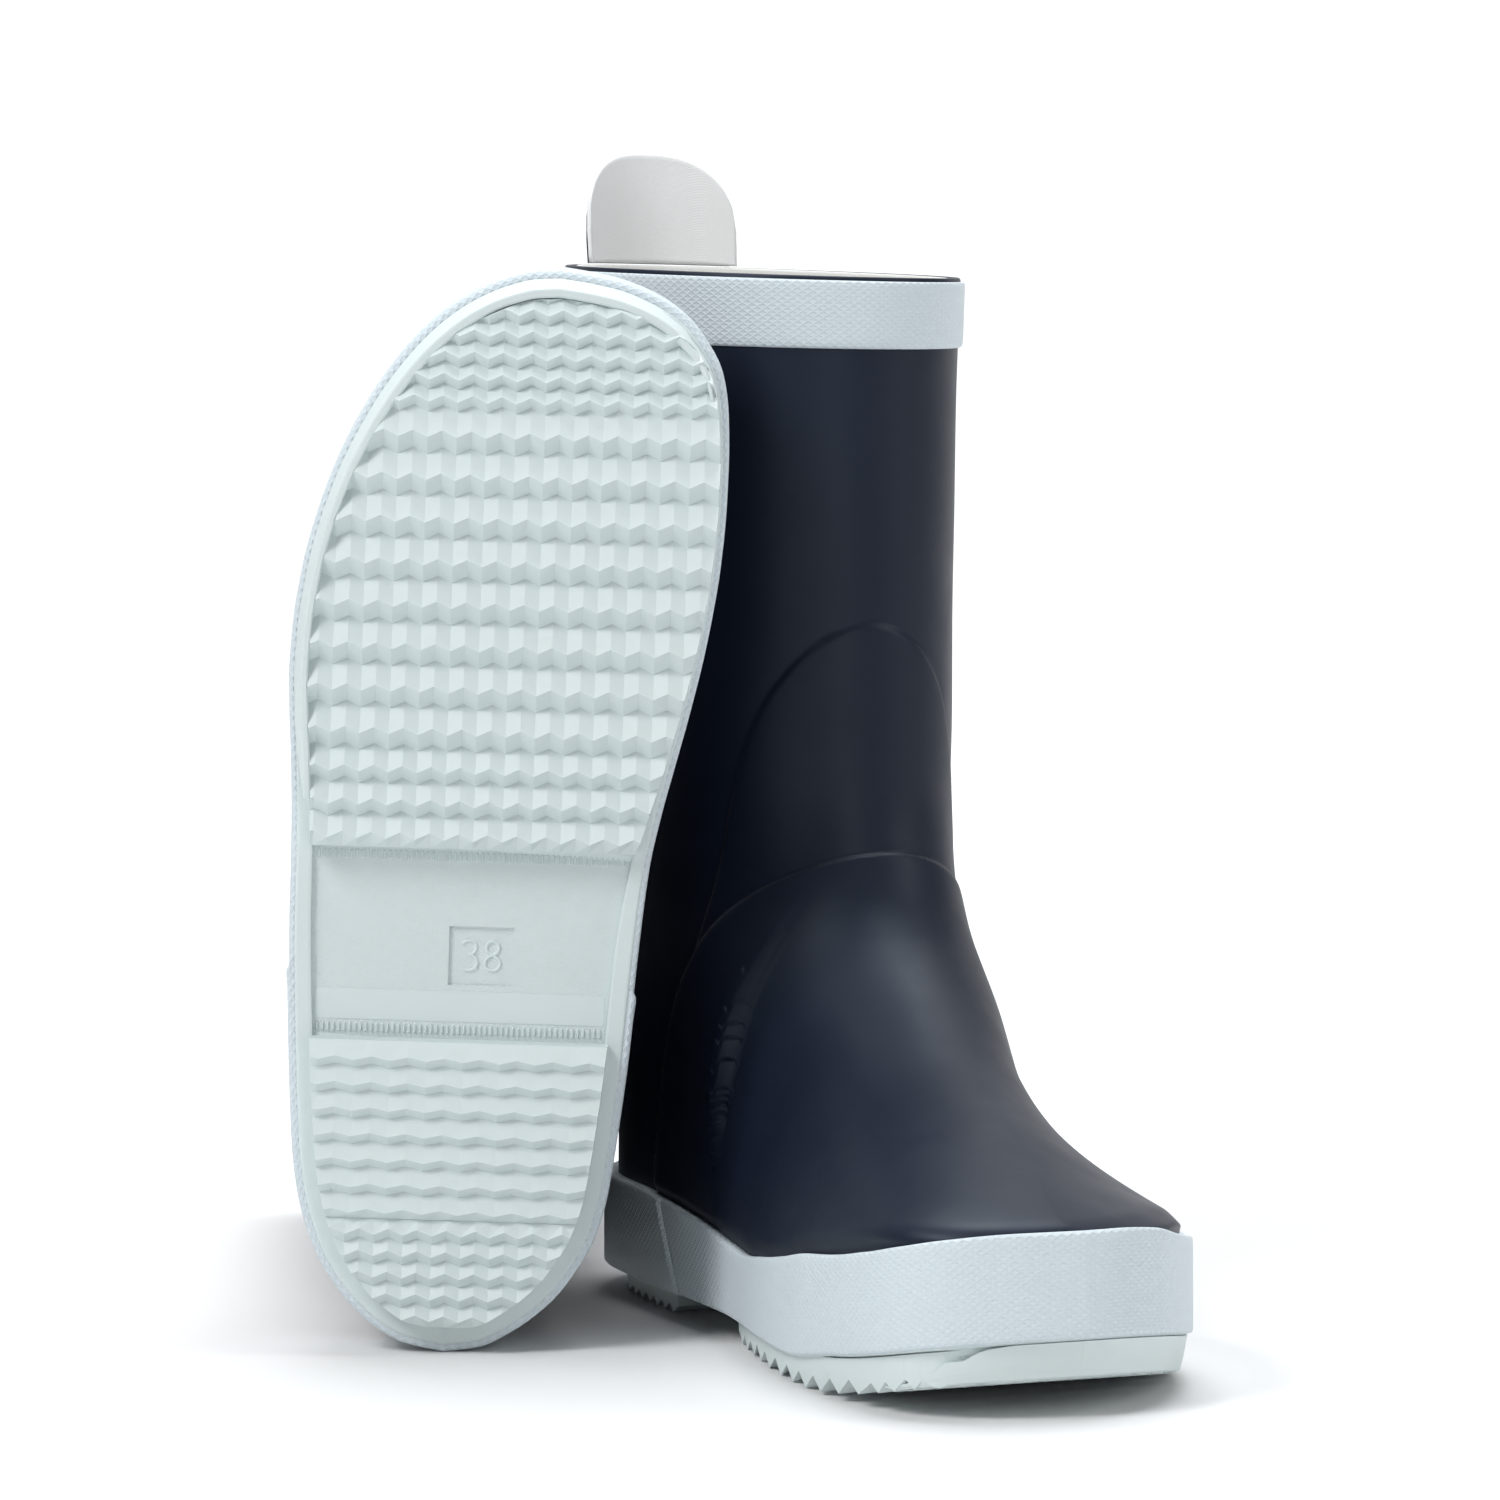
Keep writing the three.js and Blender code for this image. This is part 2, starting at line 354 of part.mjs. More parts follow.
const rad = Math.PI / 180, group = new THREE.Group();
const left = boot('left_', false);
const hx = Math.sin(LEFT_HEADING * rad), hy = -Math.cos(LEFT_HEADING * rad);
left.rotation.z = Math.atan2(hy, hx);
left.position.set(LEFT_AT[0] - LEFT_PIVOT * hx - ORIGIN[0], LEFT_AT[1] - LEFT_PIVOT * hy - ORIGIN[1], 0);
group.add(left);

// lying boot: toe up, sole to the front, inner side to +X, resting on heel and rim back
const right = boot('right_', true), spin = new THREE.Group();
const heelBack = -0.3, rimBack = Math.min(...ring(RIM_HEIGHT - 1, GAP + BAND_THICK).map(p => p.x)), kick = Math.atan2(heelBack - rimBack, RIM_HEIGHT - 10 - 20);
const ex = new THREE.Vector3(0, -Math.sin(kick), Math.cos(kick)), ez = new THREE.Vector3(0, Math.cos(kick), Math.sin(kick)), ey = new THREE.Vector3().crossVectors(ez, ex);
const pose = new THREE.Matrix4().makeBasis(ex, ey, ez);
pose.premultiply(new THREE.Matrix4().makeRotationY(RIGHT_LEAN * rad));
pose.premultiply(new THREE.Matrix4().makeRotationZ(RIGHT_YAW * rad));
right.setRotationFromMatrix(pose);
spin.add(right);
spin.updateMatrixWorld(true);
const low = new THREE.Box3().setFromObject(spin, true).min.z;
spin.position.set(RIGHT_AT[0] - ORIGIN[0], RIGHT_AT[1] - ORIGIN[1], -low);
group.add(spin);

export default group;
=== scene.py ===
import bpy, math
import numpy as np
from mathutils import Matrix, Vector


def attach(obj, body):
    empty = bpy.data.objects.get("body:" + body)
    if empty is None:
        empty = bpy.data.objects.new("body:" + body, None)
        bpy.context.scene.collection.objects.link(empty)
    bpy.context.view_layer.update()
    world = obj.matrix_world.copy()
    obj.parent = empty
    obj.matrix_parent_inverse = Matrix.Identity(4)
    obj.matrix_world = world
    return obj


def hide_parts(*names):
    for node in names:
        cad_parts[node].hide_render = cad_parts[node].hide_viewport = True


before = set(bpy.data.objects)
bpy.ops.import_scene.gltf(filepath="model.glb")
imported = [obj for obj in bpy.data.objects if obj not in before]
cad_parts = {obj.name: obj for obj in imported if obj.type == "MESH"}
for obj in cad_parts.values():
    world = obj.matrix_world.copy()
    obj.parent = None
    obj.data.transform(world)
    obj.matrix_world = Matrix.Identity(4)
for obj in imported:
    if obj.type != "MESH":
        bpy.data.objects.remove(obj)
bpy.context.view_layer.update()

FINE = 1

# ---------------------------------------------------------------- dimensions (mm, boot frame)
RIM = 267.0; FOX_T = 2.7; GAP = 0.3; INSET = FOX_T + 2 * GAP
UP_T = 1.6; TWIST = 7.0; TILT = 1.5; SEAM = 87.0
FLOOR0 = 10.3                    # underside of the upper at the heel
MEDIAL = [[0, 0], [2, 9], [5.8, 15.6], [10.7, 21.6], [16.2, 26.7], [23, 31], [30.2, 34.4], [37.3, 36.3], [43.1, 37.2], [58.9, 38.4], [78.1, 39.4], [102.4, 39.9], [124.5, 40.8], [137.7, 42.5], [150.8, 44.9], [165.4, 47.6], [179.4, 49.8], [189.9, 51], [201.3, 51.9], [212.8, 52.2], [224.1, 51.9], [239, 50.4], [248.7, 48], [256, 43.6], [261.8, 37.6], [266, 29.5], [268.6, 20.2], [269.6, 12], [270, 6.5]]
LATERAL = [[0, 0], [1.5, 10], [5.2, 17.8], [10.3, 24.1], [17.9, 30.6], [26.9, 35.6], [36.3, 38.9], [45.5, 40.9], [58, 42.6], [70.5, 44], [91.1, 46], [106.1, 47.2], [117.5, 47.8], [131.2, 48.7], [145.3, 50], [156.7, 51.3], [170, 52.3], [177.1, 52.3], [192.3, 51.2], [203.9, 49.2], [218.6, 45.1], [232.7, 39.2], [244.7, 32.3], [255, 24.1], [262.3, 15.5], [266.9, 7], [269.2, 0], [270, -6.5]]
FRONT = [[9, 267], [39.5, 266.9], [42.3, 265.6], [44.8, 262.3], [46.7, 258.2], [49.6, 250.8], [52.8, 241.3], [56.5, 229.5], [60.5, 216], [64, 203.5], [68, 190.5], [73, 177], [80, 162.5], [90, 145.4], [100, 132.6], [110, 124.4], [122, 119.2], [135, 116.8], [150, 116], [180, 115], [210, 114.5], [240, 114], [267, 114], [300, 114]]
BACK = [[9, 6], [12, 4.6], [20, 3.5], [32, 3.3], [60, 3.4], [90, 4], [120, 4], [150, 2], [180, -1], [210, -4], [240, -7], [267, -9.5], [300, -12.5]]
SHAFT_HALF = [[40, 37.4], [90, 36.2], [111, 37.2], [130, 39.2], [150, 41.2], [180, 42.6], [210, 44.5], [240, 46], [267, 47.5], [300, 49]]
SHAFT_MID = [[60, 3], [110, 2.6], [150, 1.6], [267, 0.6], [300, 0.6]]
FOX_TOP = [[0, 31], [60, 31.2], [84, 30], [104, 28.3], [115, 27], [128, 25.3], [143, 24.7], [165, 27.3], [187, 31], [202, 34.3], [224, 38], [244, 41.4], [262, 42], [270, 42]]
SPRING = [[0, 0], [190, 0], [205, 0.4], [222, 1.9], [240, 4.6], [255, 7.4], [268, 9.8], [272, 10.4]]
TREAD_INSET = [[0, 6.0, 6.0], [20, 5.8, 5.6], [60, 5.4, 5.2], [100, 5.4, 4.9], [126, 4.2, 4.8], [150, 2.7, 4.8], [200, 2.3, 4.8], [238, 2.4, 4.8], [250, 2.5, 5.0], [259, 2.9, 5.4], [265, 4.6, 5.8], [270, 5.9, 5.9]]
VAMP_EDGE = [[70, 24], [72.5, 45], [78, 68], [86, 88], [95, 101], [106, 111], [121, 122], [160, 150]]
SHIN_EDGE = [[88, 92], [92.5, 112], [97, 134], [104, 157], [110, 170], [115.5, 180], [160, 262]]
LEFT = Matrix(((0.382683, 0.92388, 0, -7.879538), (-0.92388, 0.382683, 0, 57.376736), (0, 0, 1, 0), (0, 0, 0, 1)))
RIGHT = Matrix(((0.088155, 0.995853, -0.022469, -66.78), (-0.039996, 0.026077, 0.998859, -97.665), (0.995303, -0.087156, 0.042129, -0.042655), (0, 0, 0, 1)))


def pchip(table, x, k=1):
    xs = np.array([p[0] for p in table], float); ys = np.array([p[k] for p in table], float)
    h = np.diff(xs); d = np.diff(ys) / h; m = np.zeros_like(xs); m[0] = d[0]; m[-1] = d[-1]
    for i in range(1, len(xs) - 1):
        if d[i - 1] * d[i] > 0:
            w1 = 2 * h[i] + h[i - 1]; w2 = h[i] + 2 * h[i - 1]
            m[i] = (w1 + w2) / (w1 / d[i - 1] + w2 / d[i])
    xc = np.clip(np.asarray(x, float), xs[0], xs[-1])
    i = np.clip(np.searchsorted(xs, xc, side="right") - 1, 0, len(xs) - 2)
    t = (xc - xs[i]) / h[i]
    return (2 * t**3 - 3 * t**2 + 1) * ys[i] + (t**3 - 2 * t**2 + t) * h[i] * m[i] + (3 * t**2 - 2 * t**3) * ys[i + 1] + (t**3 - t**2) * h[i] * m[i + 1]


def smooth(a, b, v):
    t = np.clip((np.asarray(v, float) - a) / (b - a), 0, 1)
    return t * t * (3 - 2 * t)


spring = lambda x: pchip(SPRING, x)
fox_top = lambda x: pchip(FOX_TOP, x)
fox_low = lambda x: 7.0 + pchip(SPRING, x) + 2.4 * smooth(188, 222, x)
ROOF = [[p[1], p[0]] for p in FRONT if p[0] <= 180][::-1]
ROOF = [r for i, r in enumerate(ROOF) if i == 0 or r[0] > ROOF[i - 1][0] + 1e-6]


def roof(x):
    return np.where(np.asarray(x) < ROOF[0][0], 400.0, pchip(ROOF, x))


def polyline(table, inset, n=700):
    P = np.array(table, float); s = np.r_[0, np.cumsum(np.hypot(*np.diff(P, axis=0).T))]
    fx = lambda u: pchip(np.c_[s, P[:, 0]].tolist(), u); fy = lambda u: pchip(np.c_[s, P[:, 1]].tolist(), u)
    u = np.linspace(0, s[-1], n); e = 0.2
    tx = fx(u + e) - fx(u - e); ty = fy(u + e) - fy(u - e)
    tx[0], ty[0], tx[-1], ty[-1] = 0, 1, 0, -1
    l = np.hypot(tx, ty); tx /= l; ty /= l
    d = inset(fx(u)) if callable(inset) else inset
    return np.c_[fx(u) + ty * d, fy(u) - tx * d]


class Side:
    def __init__(self, table, inset):
        self.p = polyline(table, inset); self.x0 = self.p[0, 0]; self.x1 = self.p[-1, 0]
        self.t = np.arccos(np.clip(1 - 2 * (self.p[:, 0] - self.x0) / (self.x1 - self.x0), -1, 1))
        self.t = np.maximum.accumulate(self.t)

    def y(self, t):
        t = np.asarray(t, float)
        return np.where(t <= 1e-7, self.p[0, 1], np.where(t >= math.pi - 1e-7, self.p[-1, 1], np.interp(t, self.t, self.p[:, 1])))

    def at(self, x):
        return self.y(np.arccos(np.clip(1 - 2 * (np.asarray(x, float) - self.x0) / (self.x1 - self.x0), -1, 1)))


UM, UL = Side(MEDIAL, INSET), Side(LATERAL, INSET)


def skin_point(s, level):
    s, level = np.broadcast_arrays(np.asarray(s, float) % 1, np.asarray(level, float))
    t = 2 * np.pi * s; sgn = np.where(s <= 0.5, -1.0, 1.0)
    xb = pchip(BACK, level); xf = np.minimum(pchip(FRONT, level), UM.x1)
    x = xb + (xf - xb) * (1 - np.cos(t)) / 2
    fade = np.maximum(0, 1 - (x - xb) / 70) ** 2
    xo = np.clip((x - (xb - INSET) * fade - UM.x0) / (UM.x1 - UM.x0), 0, 1)
    to = np.arccos(1 - 2 * xo); m = UM.y(to); l = UL.y(to)
    zf = fox_top(x) - 1
    u = np.clip((level - zf) / np.maximum(0.5, roof(x) - zf), 0, 1)
    g = np.sqrt(1 - u**1.6)
    g = g + ((1 - u**1.15) ** 0.92 - g) * np.where(sgn < 0, 0, smooth(110, 165, x))
    yf = (l - m) / 2 + sgn * (l + m) / 2 * g
    mid = pchip(SHAFT_MID, level); ys = mid + sgn * pchip(SHAFT_HALF, level) * np.abs(np.sin(t))
    k = np.where(sgn < 0, smooth(60, 120, level), smooth(42, 95, level)); y = yf * (1 - k) + ys * k
    tau = np.clip((level - FLOOR0) / 45, 0, 1)
    z = level + spring(x) * (1 - tau) ** 2
    a = math.radians(TWIST) * smooth(60, 140, level); cx = (xb + xf) / 2
    dx = x - cx; dy = y - mid
    x = cx + dx * np.cos(a) - dy * np.sin(a); y = mid + dx * np.sin(a) + dy * np.cos(a)
    z = z - TILT * np.clip((level - 200) / 67, 0, 1) * y / 47
    return np.stack([x, y, z], -1)


def along(s, level):
    """the direction of growing s; at the heel's and toe's centre it is taken over a longer step"""
    w = np.minimum(np.asarray(s, float) % 0.5, 0.5 - np.asarray(s, float) % 0.5)
    e = np.where(w < 2.5e-3, 1.2e-2, 2e-3)
    return skin_point(np.asarray(s) + e, level) - skin_point(np.asarray(s) - e, level)


def normals(s, level):
    ds = along(s, level)
    dz = skin_point(s, np.asarray(level) + 1.5) - skin_point(s, np.maximum(9.5, np.asarray(level) - 1.5))
    n = np.cross(ds, dz)
    return n / np.maximum(1e-9, np.linalg.norm(n, axis=-1, keepdims=True))


def skin(s, level, off=0.0):
    p = skin_point(s, level)
    off = np.broadcast_to(np.asarray(off, float), p.shape[:-1])
    return p + normals(s, level) * off[..., None]


def flat(s, level, off, z):
    d = along(s, level)
    l = np.maximum(1e-9, np.hypot(d[..., 0], d[..., 1])); p = skin_point(s, level)
    x = p[..., 0] + d[..., 1] / l * off
    return np.stack([x, p[..., 1] - d[..., 0] / l * off, z + spring(x)], -1)


# ---------------------------------------------------------------- mesh building
def to_world(P, side):
    P = np.array(P, float).reshape(-1, 3)
    if side == "right":
        P = P * np.array([1, -1, 1])
    M = np.array(LEFT if side == "left" else RIGHT)
    return (P @ M[:3, :3].T + M[:3, 3]) / 1000.0


def new_object(name, V, F, mats, side, UV=None, smooth_shade=True, face_mat=None):
    """V local mm, F faces, UV per-corner list aligned with F."""
    W = to_world(V, side)
    F = [list(f) for f in F]
    if side == "right":
        F = [f[::-1] for f in F]
        if UV is not None:
            UV = [u[::-1] for u in UV]
    me = bpy.data.meshes.new(name)
    me.from_pydata(W.tolist(), [], F)
    for m in mats:
        me.materials.append(m)
    if UV is not None:
        uvl = me.uv_layers.new(name="UVMap")
        uvl.data.foreach_set("uv", np.concatenate([np.asarray(u, float).reshape(-1) for u in UV]))
    me.polygons.foreach_set("use_smooth", [bool(smooth_shade)] * len(me.polygons))
    if face_mat is not None:
        me.polygons.foreach_set("material_index", face_mat)
    me.update(); me.validate()
    o = bpy.data.objects.new(name, me)
    bpy.context.scene.collection.objects.link(o)
    return o


def grid(V, close_c=False, close_r=False, UV=None, flip=False):
    """V (R, C, 3) -> verts, faces, per-corner uv"""
    R, C = V.shape[:2]
    r = np.arange(R if close_r else R - 1); c = np.arange(C if close_c else C - 1)
    rr, cc = np.meshgrid(r, c, indexing="ij"); rr = rr.ravel(); cc = cc.ravel()
    r2 = (rr + 1) % R; c2 = (cc + 1) % C
    F = np.stack([rr * C + cc, rr * C + c2, r2 * C + c2, r2 * C + cc], -1)
    U = None
    if UV is not None:
        U = np.stack([UV[rr, cc], UV[rr, cc + 1], UV[rr + 1, cc + 1], UV[rr + 1, cc]], 1)
    if flip:
        F = F[:, ::-1]; U = U[:, ::-1] if U is not None else None
    return V.reshape(-1, 3), F, U


def signed_outward(V, F):
    P = np.asarray(V); vol = 0.0
    A = P[F[:, 0]]
    for i in range(1, F.shape[1] - 1):
        vol += np.einsum("ij,ij->", A, np.cross(P[F[:, i]], P[F[:, i + 1]]))
    return vol > 0


def mm_uv(V, close_c):
    """u = arc length along columns, v = distance along rows, in mm"""
    W = np.concatenate([V, V[:, :1]], 1) if close_c else V
    mid = W[W.shape[0] // 2]
    u = np.r_[0, np.cumsum(np.linalg.norm(np.diff(mid, axis=0), axis=1))]
    v = np.concatenate([np.zeros((1, W.shape[1])), np.cumsum(np.linalg.norm(np.diff(W, axis=0), axis=-1), 0)], 0)
    return np.stack([np.broadcast_to(u, v.shape), v], -1)


def ring_piece(name, V, mats, side, uv=True):
    """closed loop of rows round closed columns: a torus-like solid"""
    VV = np.concatenate([V, V[:1]], 0)
    UV = mm_uv(VV, True)
    v, F, U = grid(V, True, True, UV)
    if not signed_outward(v, F):
        F = F[:, ::-1]; U = U[:, ::-1]
    return new_object(name, v, F, mats, side, U)


def strip_piece(name, V, mats, side):
    """closed rows, open columns: a bar with both ends capped"""
    K, C = V.shape[:2]
    VV = np.concatenate([V, V[:1]], 0); UV = mm_uv(VV, False)
    v, F, U = grid(V, False, True, UV)
    a = [k * C for k in range(K)]; b = [k * C + C - 1 for k in range(K)]
    if not signed_outward(v, F):
        F = F[:, ::-1]; U = U[:, ::-1]; caps = [a[::-1], b]
    else:
        caps = [a, b[::-1]]
    # the caps must run against the side faces' edges
    edges = {(f[i], f[(i + 1) % 4]) for f in F.tolist() for i in range(4)}
    fixed = []
    for c in caps:
        if (c[0], c[1]) in edges:
            c = c[::-1]
        fixed.append(c)
    faces = F.tolist() + fixed
    uvs = [u.tolist() for u in U] + [[(0.0, 0.0)] * K, [(0.0, 0.0)] * K]
    return new_object(name, v, faces, mats, side, uvs)


def capsule_piece(name, V, mats, side):
    """rows of closed columns, first and last row closed by strips across"""
    R, C = V.shape[:2]
    UV = mm_uv(V, True)
    v, F, U = grid(V, True, False, UV)
    F = F.tolist(); U = [u.tolist() for u in U]
    if not signed_outward(v, np.array(F)):
        F = [f[::-1] for f in F]; U = [u[::-1] for u in U]
    edges = {(f[i], f[(i + 1) % 4]) for f in F for i in range(4)}
    for o in (0, (R - 1) * C):
        cap = []
        for i in range(C // 2):
            q = [o + i, o + i + 1, o + (C - i - 1) % C, o + (C - i) % C]
            q = [x for j, x in enumerate(q) if x not in q[:j]]
            cap.append(q)
        f0 = cap[1]
        if (f0[0], f0[1]) in edges:
            cap = [q[::-1] for q in cap]
        F += cap; U += [[(float(v[x, 0]), float(v[x, 1])) for x in q] for q in cap]
    return new_object(name, v, F, mats, side, U)


# ---------------------------------------------------------------- materials
def mat(name):
    m = bpy.data.materials.new(name); m.use_nodes = True
    nt = m.node_tree; b = nt.nodes["Principled BSDF"]
    return m, nt, b


def node(nt, kind, **inputs):
    n = nt.nodes.new(kind)
    for k, v in inputs.items():
        k2 = k.replace("_", " ")
        if k2 in n.inputs:
            n.inputs[k2].default_value = v
        else:
            setattr(n, k, v)
    return n


def math_node(nt, op, a, b=None, c=None):
    n = nt.nodes.new("ShaderNodeMath"); n.operation = op
    for i, v in enumerate((a, b, c)):
        if v is None:
            continue
        if isinstance(v, (int, float)):
            n.inputs[i].default_value = v
        else:
            nt.links.new(v, n.inputs[i])
    return n.outputs[0]


def noise(nt, scale, detail=3.0, rough=0.5, vec=None):
    n = nt.nodes.new("ShaderNodeTexNoise")
    n.inputs["Scale"].default_value = scale; n.inputs["Detail"].default_value = detail; n.inputs["Roughness"].default_value = rough
    if vec is None:
        tc = nt.nodes.new("ShaderNodeTexCoord"); vec = tc.outputs["Object"]
    nt.links.new(vec, n.inputs["Vector"])
    return n.outputs["Fac"]


def ramp(nt, src, lo, hi, a, b):
    n = nt.nodes.new("ShaderNodeMapRange"); nt.links.new(src, n.inputs["Value"])
    for k, v in zip(("From Min", "From Max", "To Min", "To Max"), (lo, hi, a, b)):
        n.inputs[k].default_value = v
    return n.outputs["Result"]


def mix_colour(nt, fac, a, b):
    n = nt.nodes.new("ShaderNodeMix"); n.data_type = "RGBA"
    n.inputs[6].default_value = (*a, 1); n.inputs[7].default_value = (*b, 1)
    nt.links.new(fac, n.inputs[0])
    return n.outputs[2]


def bump(nt, height, strength, distance, prev=None):
    n = nt.nodes.new("ShaderNodeBump"); n.inputs["Strength"].default_value = strength; n.inputs["Distance"].default_value = distance
    nt.links.new(height, n.inputs["Height"])
    if prev is not None:
        nt.links.new(prev, n.inputs["Normal"])
    return n.outputs["Normal"]


def uv_xy(nt):
    tc = nt.nodes.new("ShaderNodeTexCoord"); s = nt.nodes.new("ShaderNodeSeparateXYZ")
    nt.links.new(tc.outputs["UV"], s.inputs[0])
    return s.outputs[0], s.outputs[1]


def net(nt, pitch_u, pitch_v, sharp=6.0):
    """fine raised diamond net from the mm coordinates of a strip"""
    u, v = uv_xy(nt)
    a = math_node(nt, "MULTIPLY", u, math.pi / pitch_u); b = math_node(nt, "MULTIPLY", v, math.pi / pitch_v)
    p = math_node(nt, "ABSOLUTE", math_node(nt, "COSINE", math_node(nt, "ADD", a, b)))
    q = math_node(nt, "ABSOLUTE", math_node(nt, "COSINE", math_node(nt, "SUBTRACT", a, b)))
    return math_node(nt, "MAXIMUM", math_node(nt, "POWER", p, sharp), math_node(nt, "POWER", q, sharp))


def rubber_navy():
    m, nt, b = mat("navy_rubber")
    f = noise(nt, 14, 4)
    nt.links.new(mix_colour(nt, f, (0.0058, 0.0092, 0.0205), (0.0074, 0.0115, 0.0250)), b.inputs["Base Color"])
    nt.links.new(ramp(nt, noise(nt, 60, 5, 0.6), 0.3, 0.7, 0.42, 0.49), b.inputs["Roughness"])
    b.inputs["Specular IOR Level"].default_value = 0.30
    b.inputs["Specular Tint"].default_value = (0.80, 0.90, 1.0, 1)
    n1 = bump(nt, noise(nt, 900, 3), 0.05, 0.0002)
    nt.links.new(bump(nt, noise(nt, 22, 2), 0.10, 0.004, n1), b.inputs["Normal"])
    return m


def rubber_trim(name="trim_rubber", netted=True, colour=((0.60, 0.675, 0.72), (0.63, 0.70, 0.74))):
    m, nt, b = mat(name)
    f = noise(nt, 25, 4)
    nt.links.new(mix_colour(nt, f, *colour), b.inputs["Base Color"])
    nt.links.new(ramp(nt, noise(nt, 120, 4), 0.3, 0.7, 0.50, 0.60), b.inputs["Roughness"])
    n1 = bump(nt, noise(nt, 1500, 2), 0.05, 0.0001)
    if netted:
        n1 = bump(nt, net(nt, 2.6, 1.7), 0.6, 0.00028, n1)
    nt.links.new(bump(nt, noise(nt, 30, 2), 0.08, 0.003, n1), b.inputs["Normal"])
    return m


def cloth(name, colour, pitch=0.9):
    m, nt, b = mat(name)
    f = noise(nt, 40, 5, 0.7)
    nt.links.new(mix_colour(nt, f, tuple(c * 0.95 for c in colour), colour), b.inputs["Base Color"])
    nt.links.new(ramp(nt, noise(nt, 300, 3), 0.3, 0.7, 0.82, 0.95), b.inputs["Roughness"])
    b.inputs["Sheen Weight"].default_value = 0.15
    u, v = uv_xy(nt)
    a = math_node(nt, "SINE", math_node(nt, "MULTIPLY", u, 2 * math.pi / pitch)); c = math_node(nt, "SINE", math_node(nt, "MULTIPLY", v, 2 * math.pi / pitch))
    h = math_node(nt, "MULTIPLY", a, c)
    n1 = bump(nt, h, 0.35, 0.00012)
    nt.links.new(bump(nt, noise(nt, 500, 4), 0.2, 0.0002, n1), b.inputs["Normal"])
    return m


def plain(name, colour, rough, scale=300, strength=0.3):
    m, nt, b = mat(name)
    f = noise(nt, 60, 4)
    nt.links.new(mix_colour(nt, f, tuple(c * 0.9 for c in colour), colour), b.inputs["Base Color"])
    nt.links.new(ramp(nt, noise(nt, 200, 3), 0.3, 0.7, rough - 0.05, rough + 0.05), b.inputs["Roughness"])
    nt.links.new(bump(nt, noise(nt, scale, 4), strength, 0.0003), b.inputs["Normal"])
    return m


NAVY = rubber_navy()
TRIM = rubber_trim()
SOLE = rubber_trim("sole_rubber", False, ((0.60, 0.675, 0.68), (0.63, 0.70, 0.705)))
LINING = cloth("lining_cloth", (0.70, 0.70, 0.68), 1.1)
TABCLOTH = cloth("tab_cloth", (0.86, 0.865, 0.87), 0.7)
BED = plain("footbed_foam", (0.50, 0.53, 0.55), 0.9)
STIFF = plain("stiffener", (0.05, 0.055, 0.06), 0.8)


def hatch_material():
    """waist panel: fine crossed hatching on one zone, set by the panel's own coordinates in mm"""
    m, nt, b = mat("sole_hatch")
    f = noise(nt, 25, 4)
    nt.links.new(mix_colour(nt, f, (0.60, 0.67, 0.68), (0.63, 0.695, 0.705)), b.inputs["Base Color"])
    b.inputs["Roughness"].default_value = 0.6
    u, v = uv_xy(nt)
    k = math.pi / 0.85
    p = math_node(nt, "ABSOLUTE", math_node(nt, "SINE", math_node(nt, "MULTIPLY", math_node(nt, "ADD", u, v), k)))
    q = math_node(nt, "ABSOLUTE", math_node(nt, "SINE", math_node(nt, "MULTIPLY", math_node(nt, "SUBTRACT", u, v), k)))
    nt.links.new(bump(nt, math_node(nt, "MULTIPLY", p, q), 0.5, 0.00016), b.inputs["Normal"])
    return m


HATCH = hatch_material()


# ---------------------------------------------------------------- the pieces
def sd_edge(P, E):
    """signed distance in the side view from points (x, z) to an edge line; positive in front of and below it"""
    E = np.array(E, float)
    x, z = P[..., 0], P[..., 2]; best = np.full(x.shape, 1e9)
    for a, c in zip(E[:-1], E[1:]):
        d = c - a; L2 = (d**2).sum()
        t = np.clip(((x - a[0]) * d[0] + (z - a[1]) * d[1]) / L2, 0, 1)
        best = np.minimum(best, np.hypot(x - a[0] - t * d[0], z - a[1] - t * d[1]))
    inside = x > np.interp(z, E[:, 1], E[:, 0])
    inside &= (z > E[0, 1] - 1e-6)
    return np.where(inside, best, -best)


def edge_table(E, n=120):
    E = np.array(E, float); s = np.r_[0, np.cumsum(np.hypot(*np.diff(E, axis=0).T))]
    u = np.linspace(0, s[-1], n)
    return np.c_[pchip(np.c_[s, E[:, 0]].tolist(), u), pchip(np.c_[s, E[:, 1]].tolist(), u)]


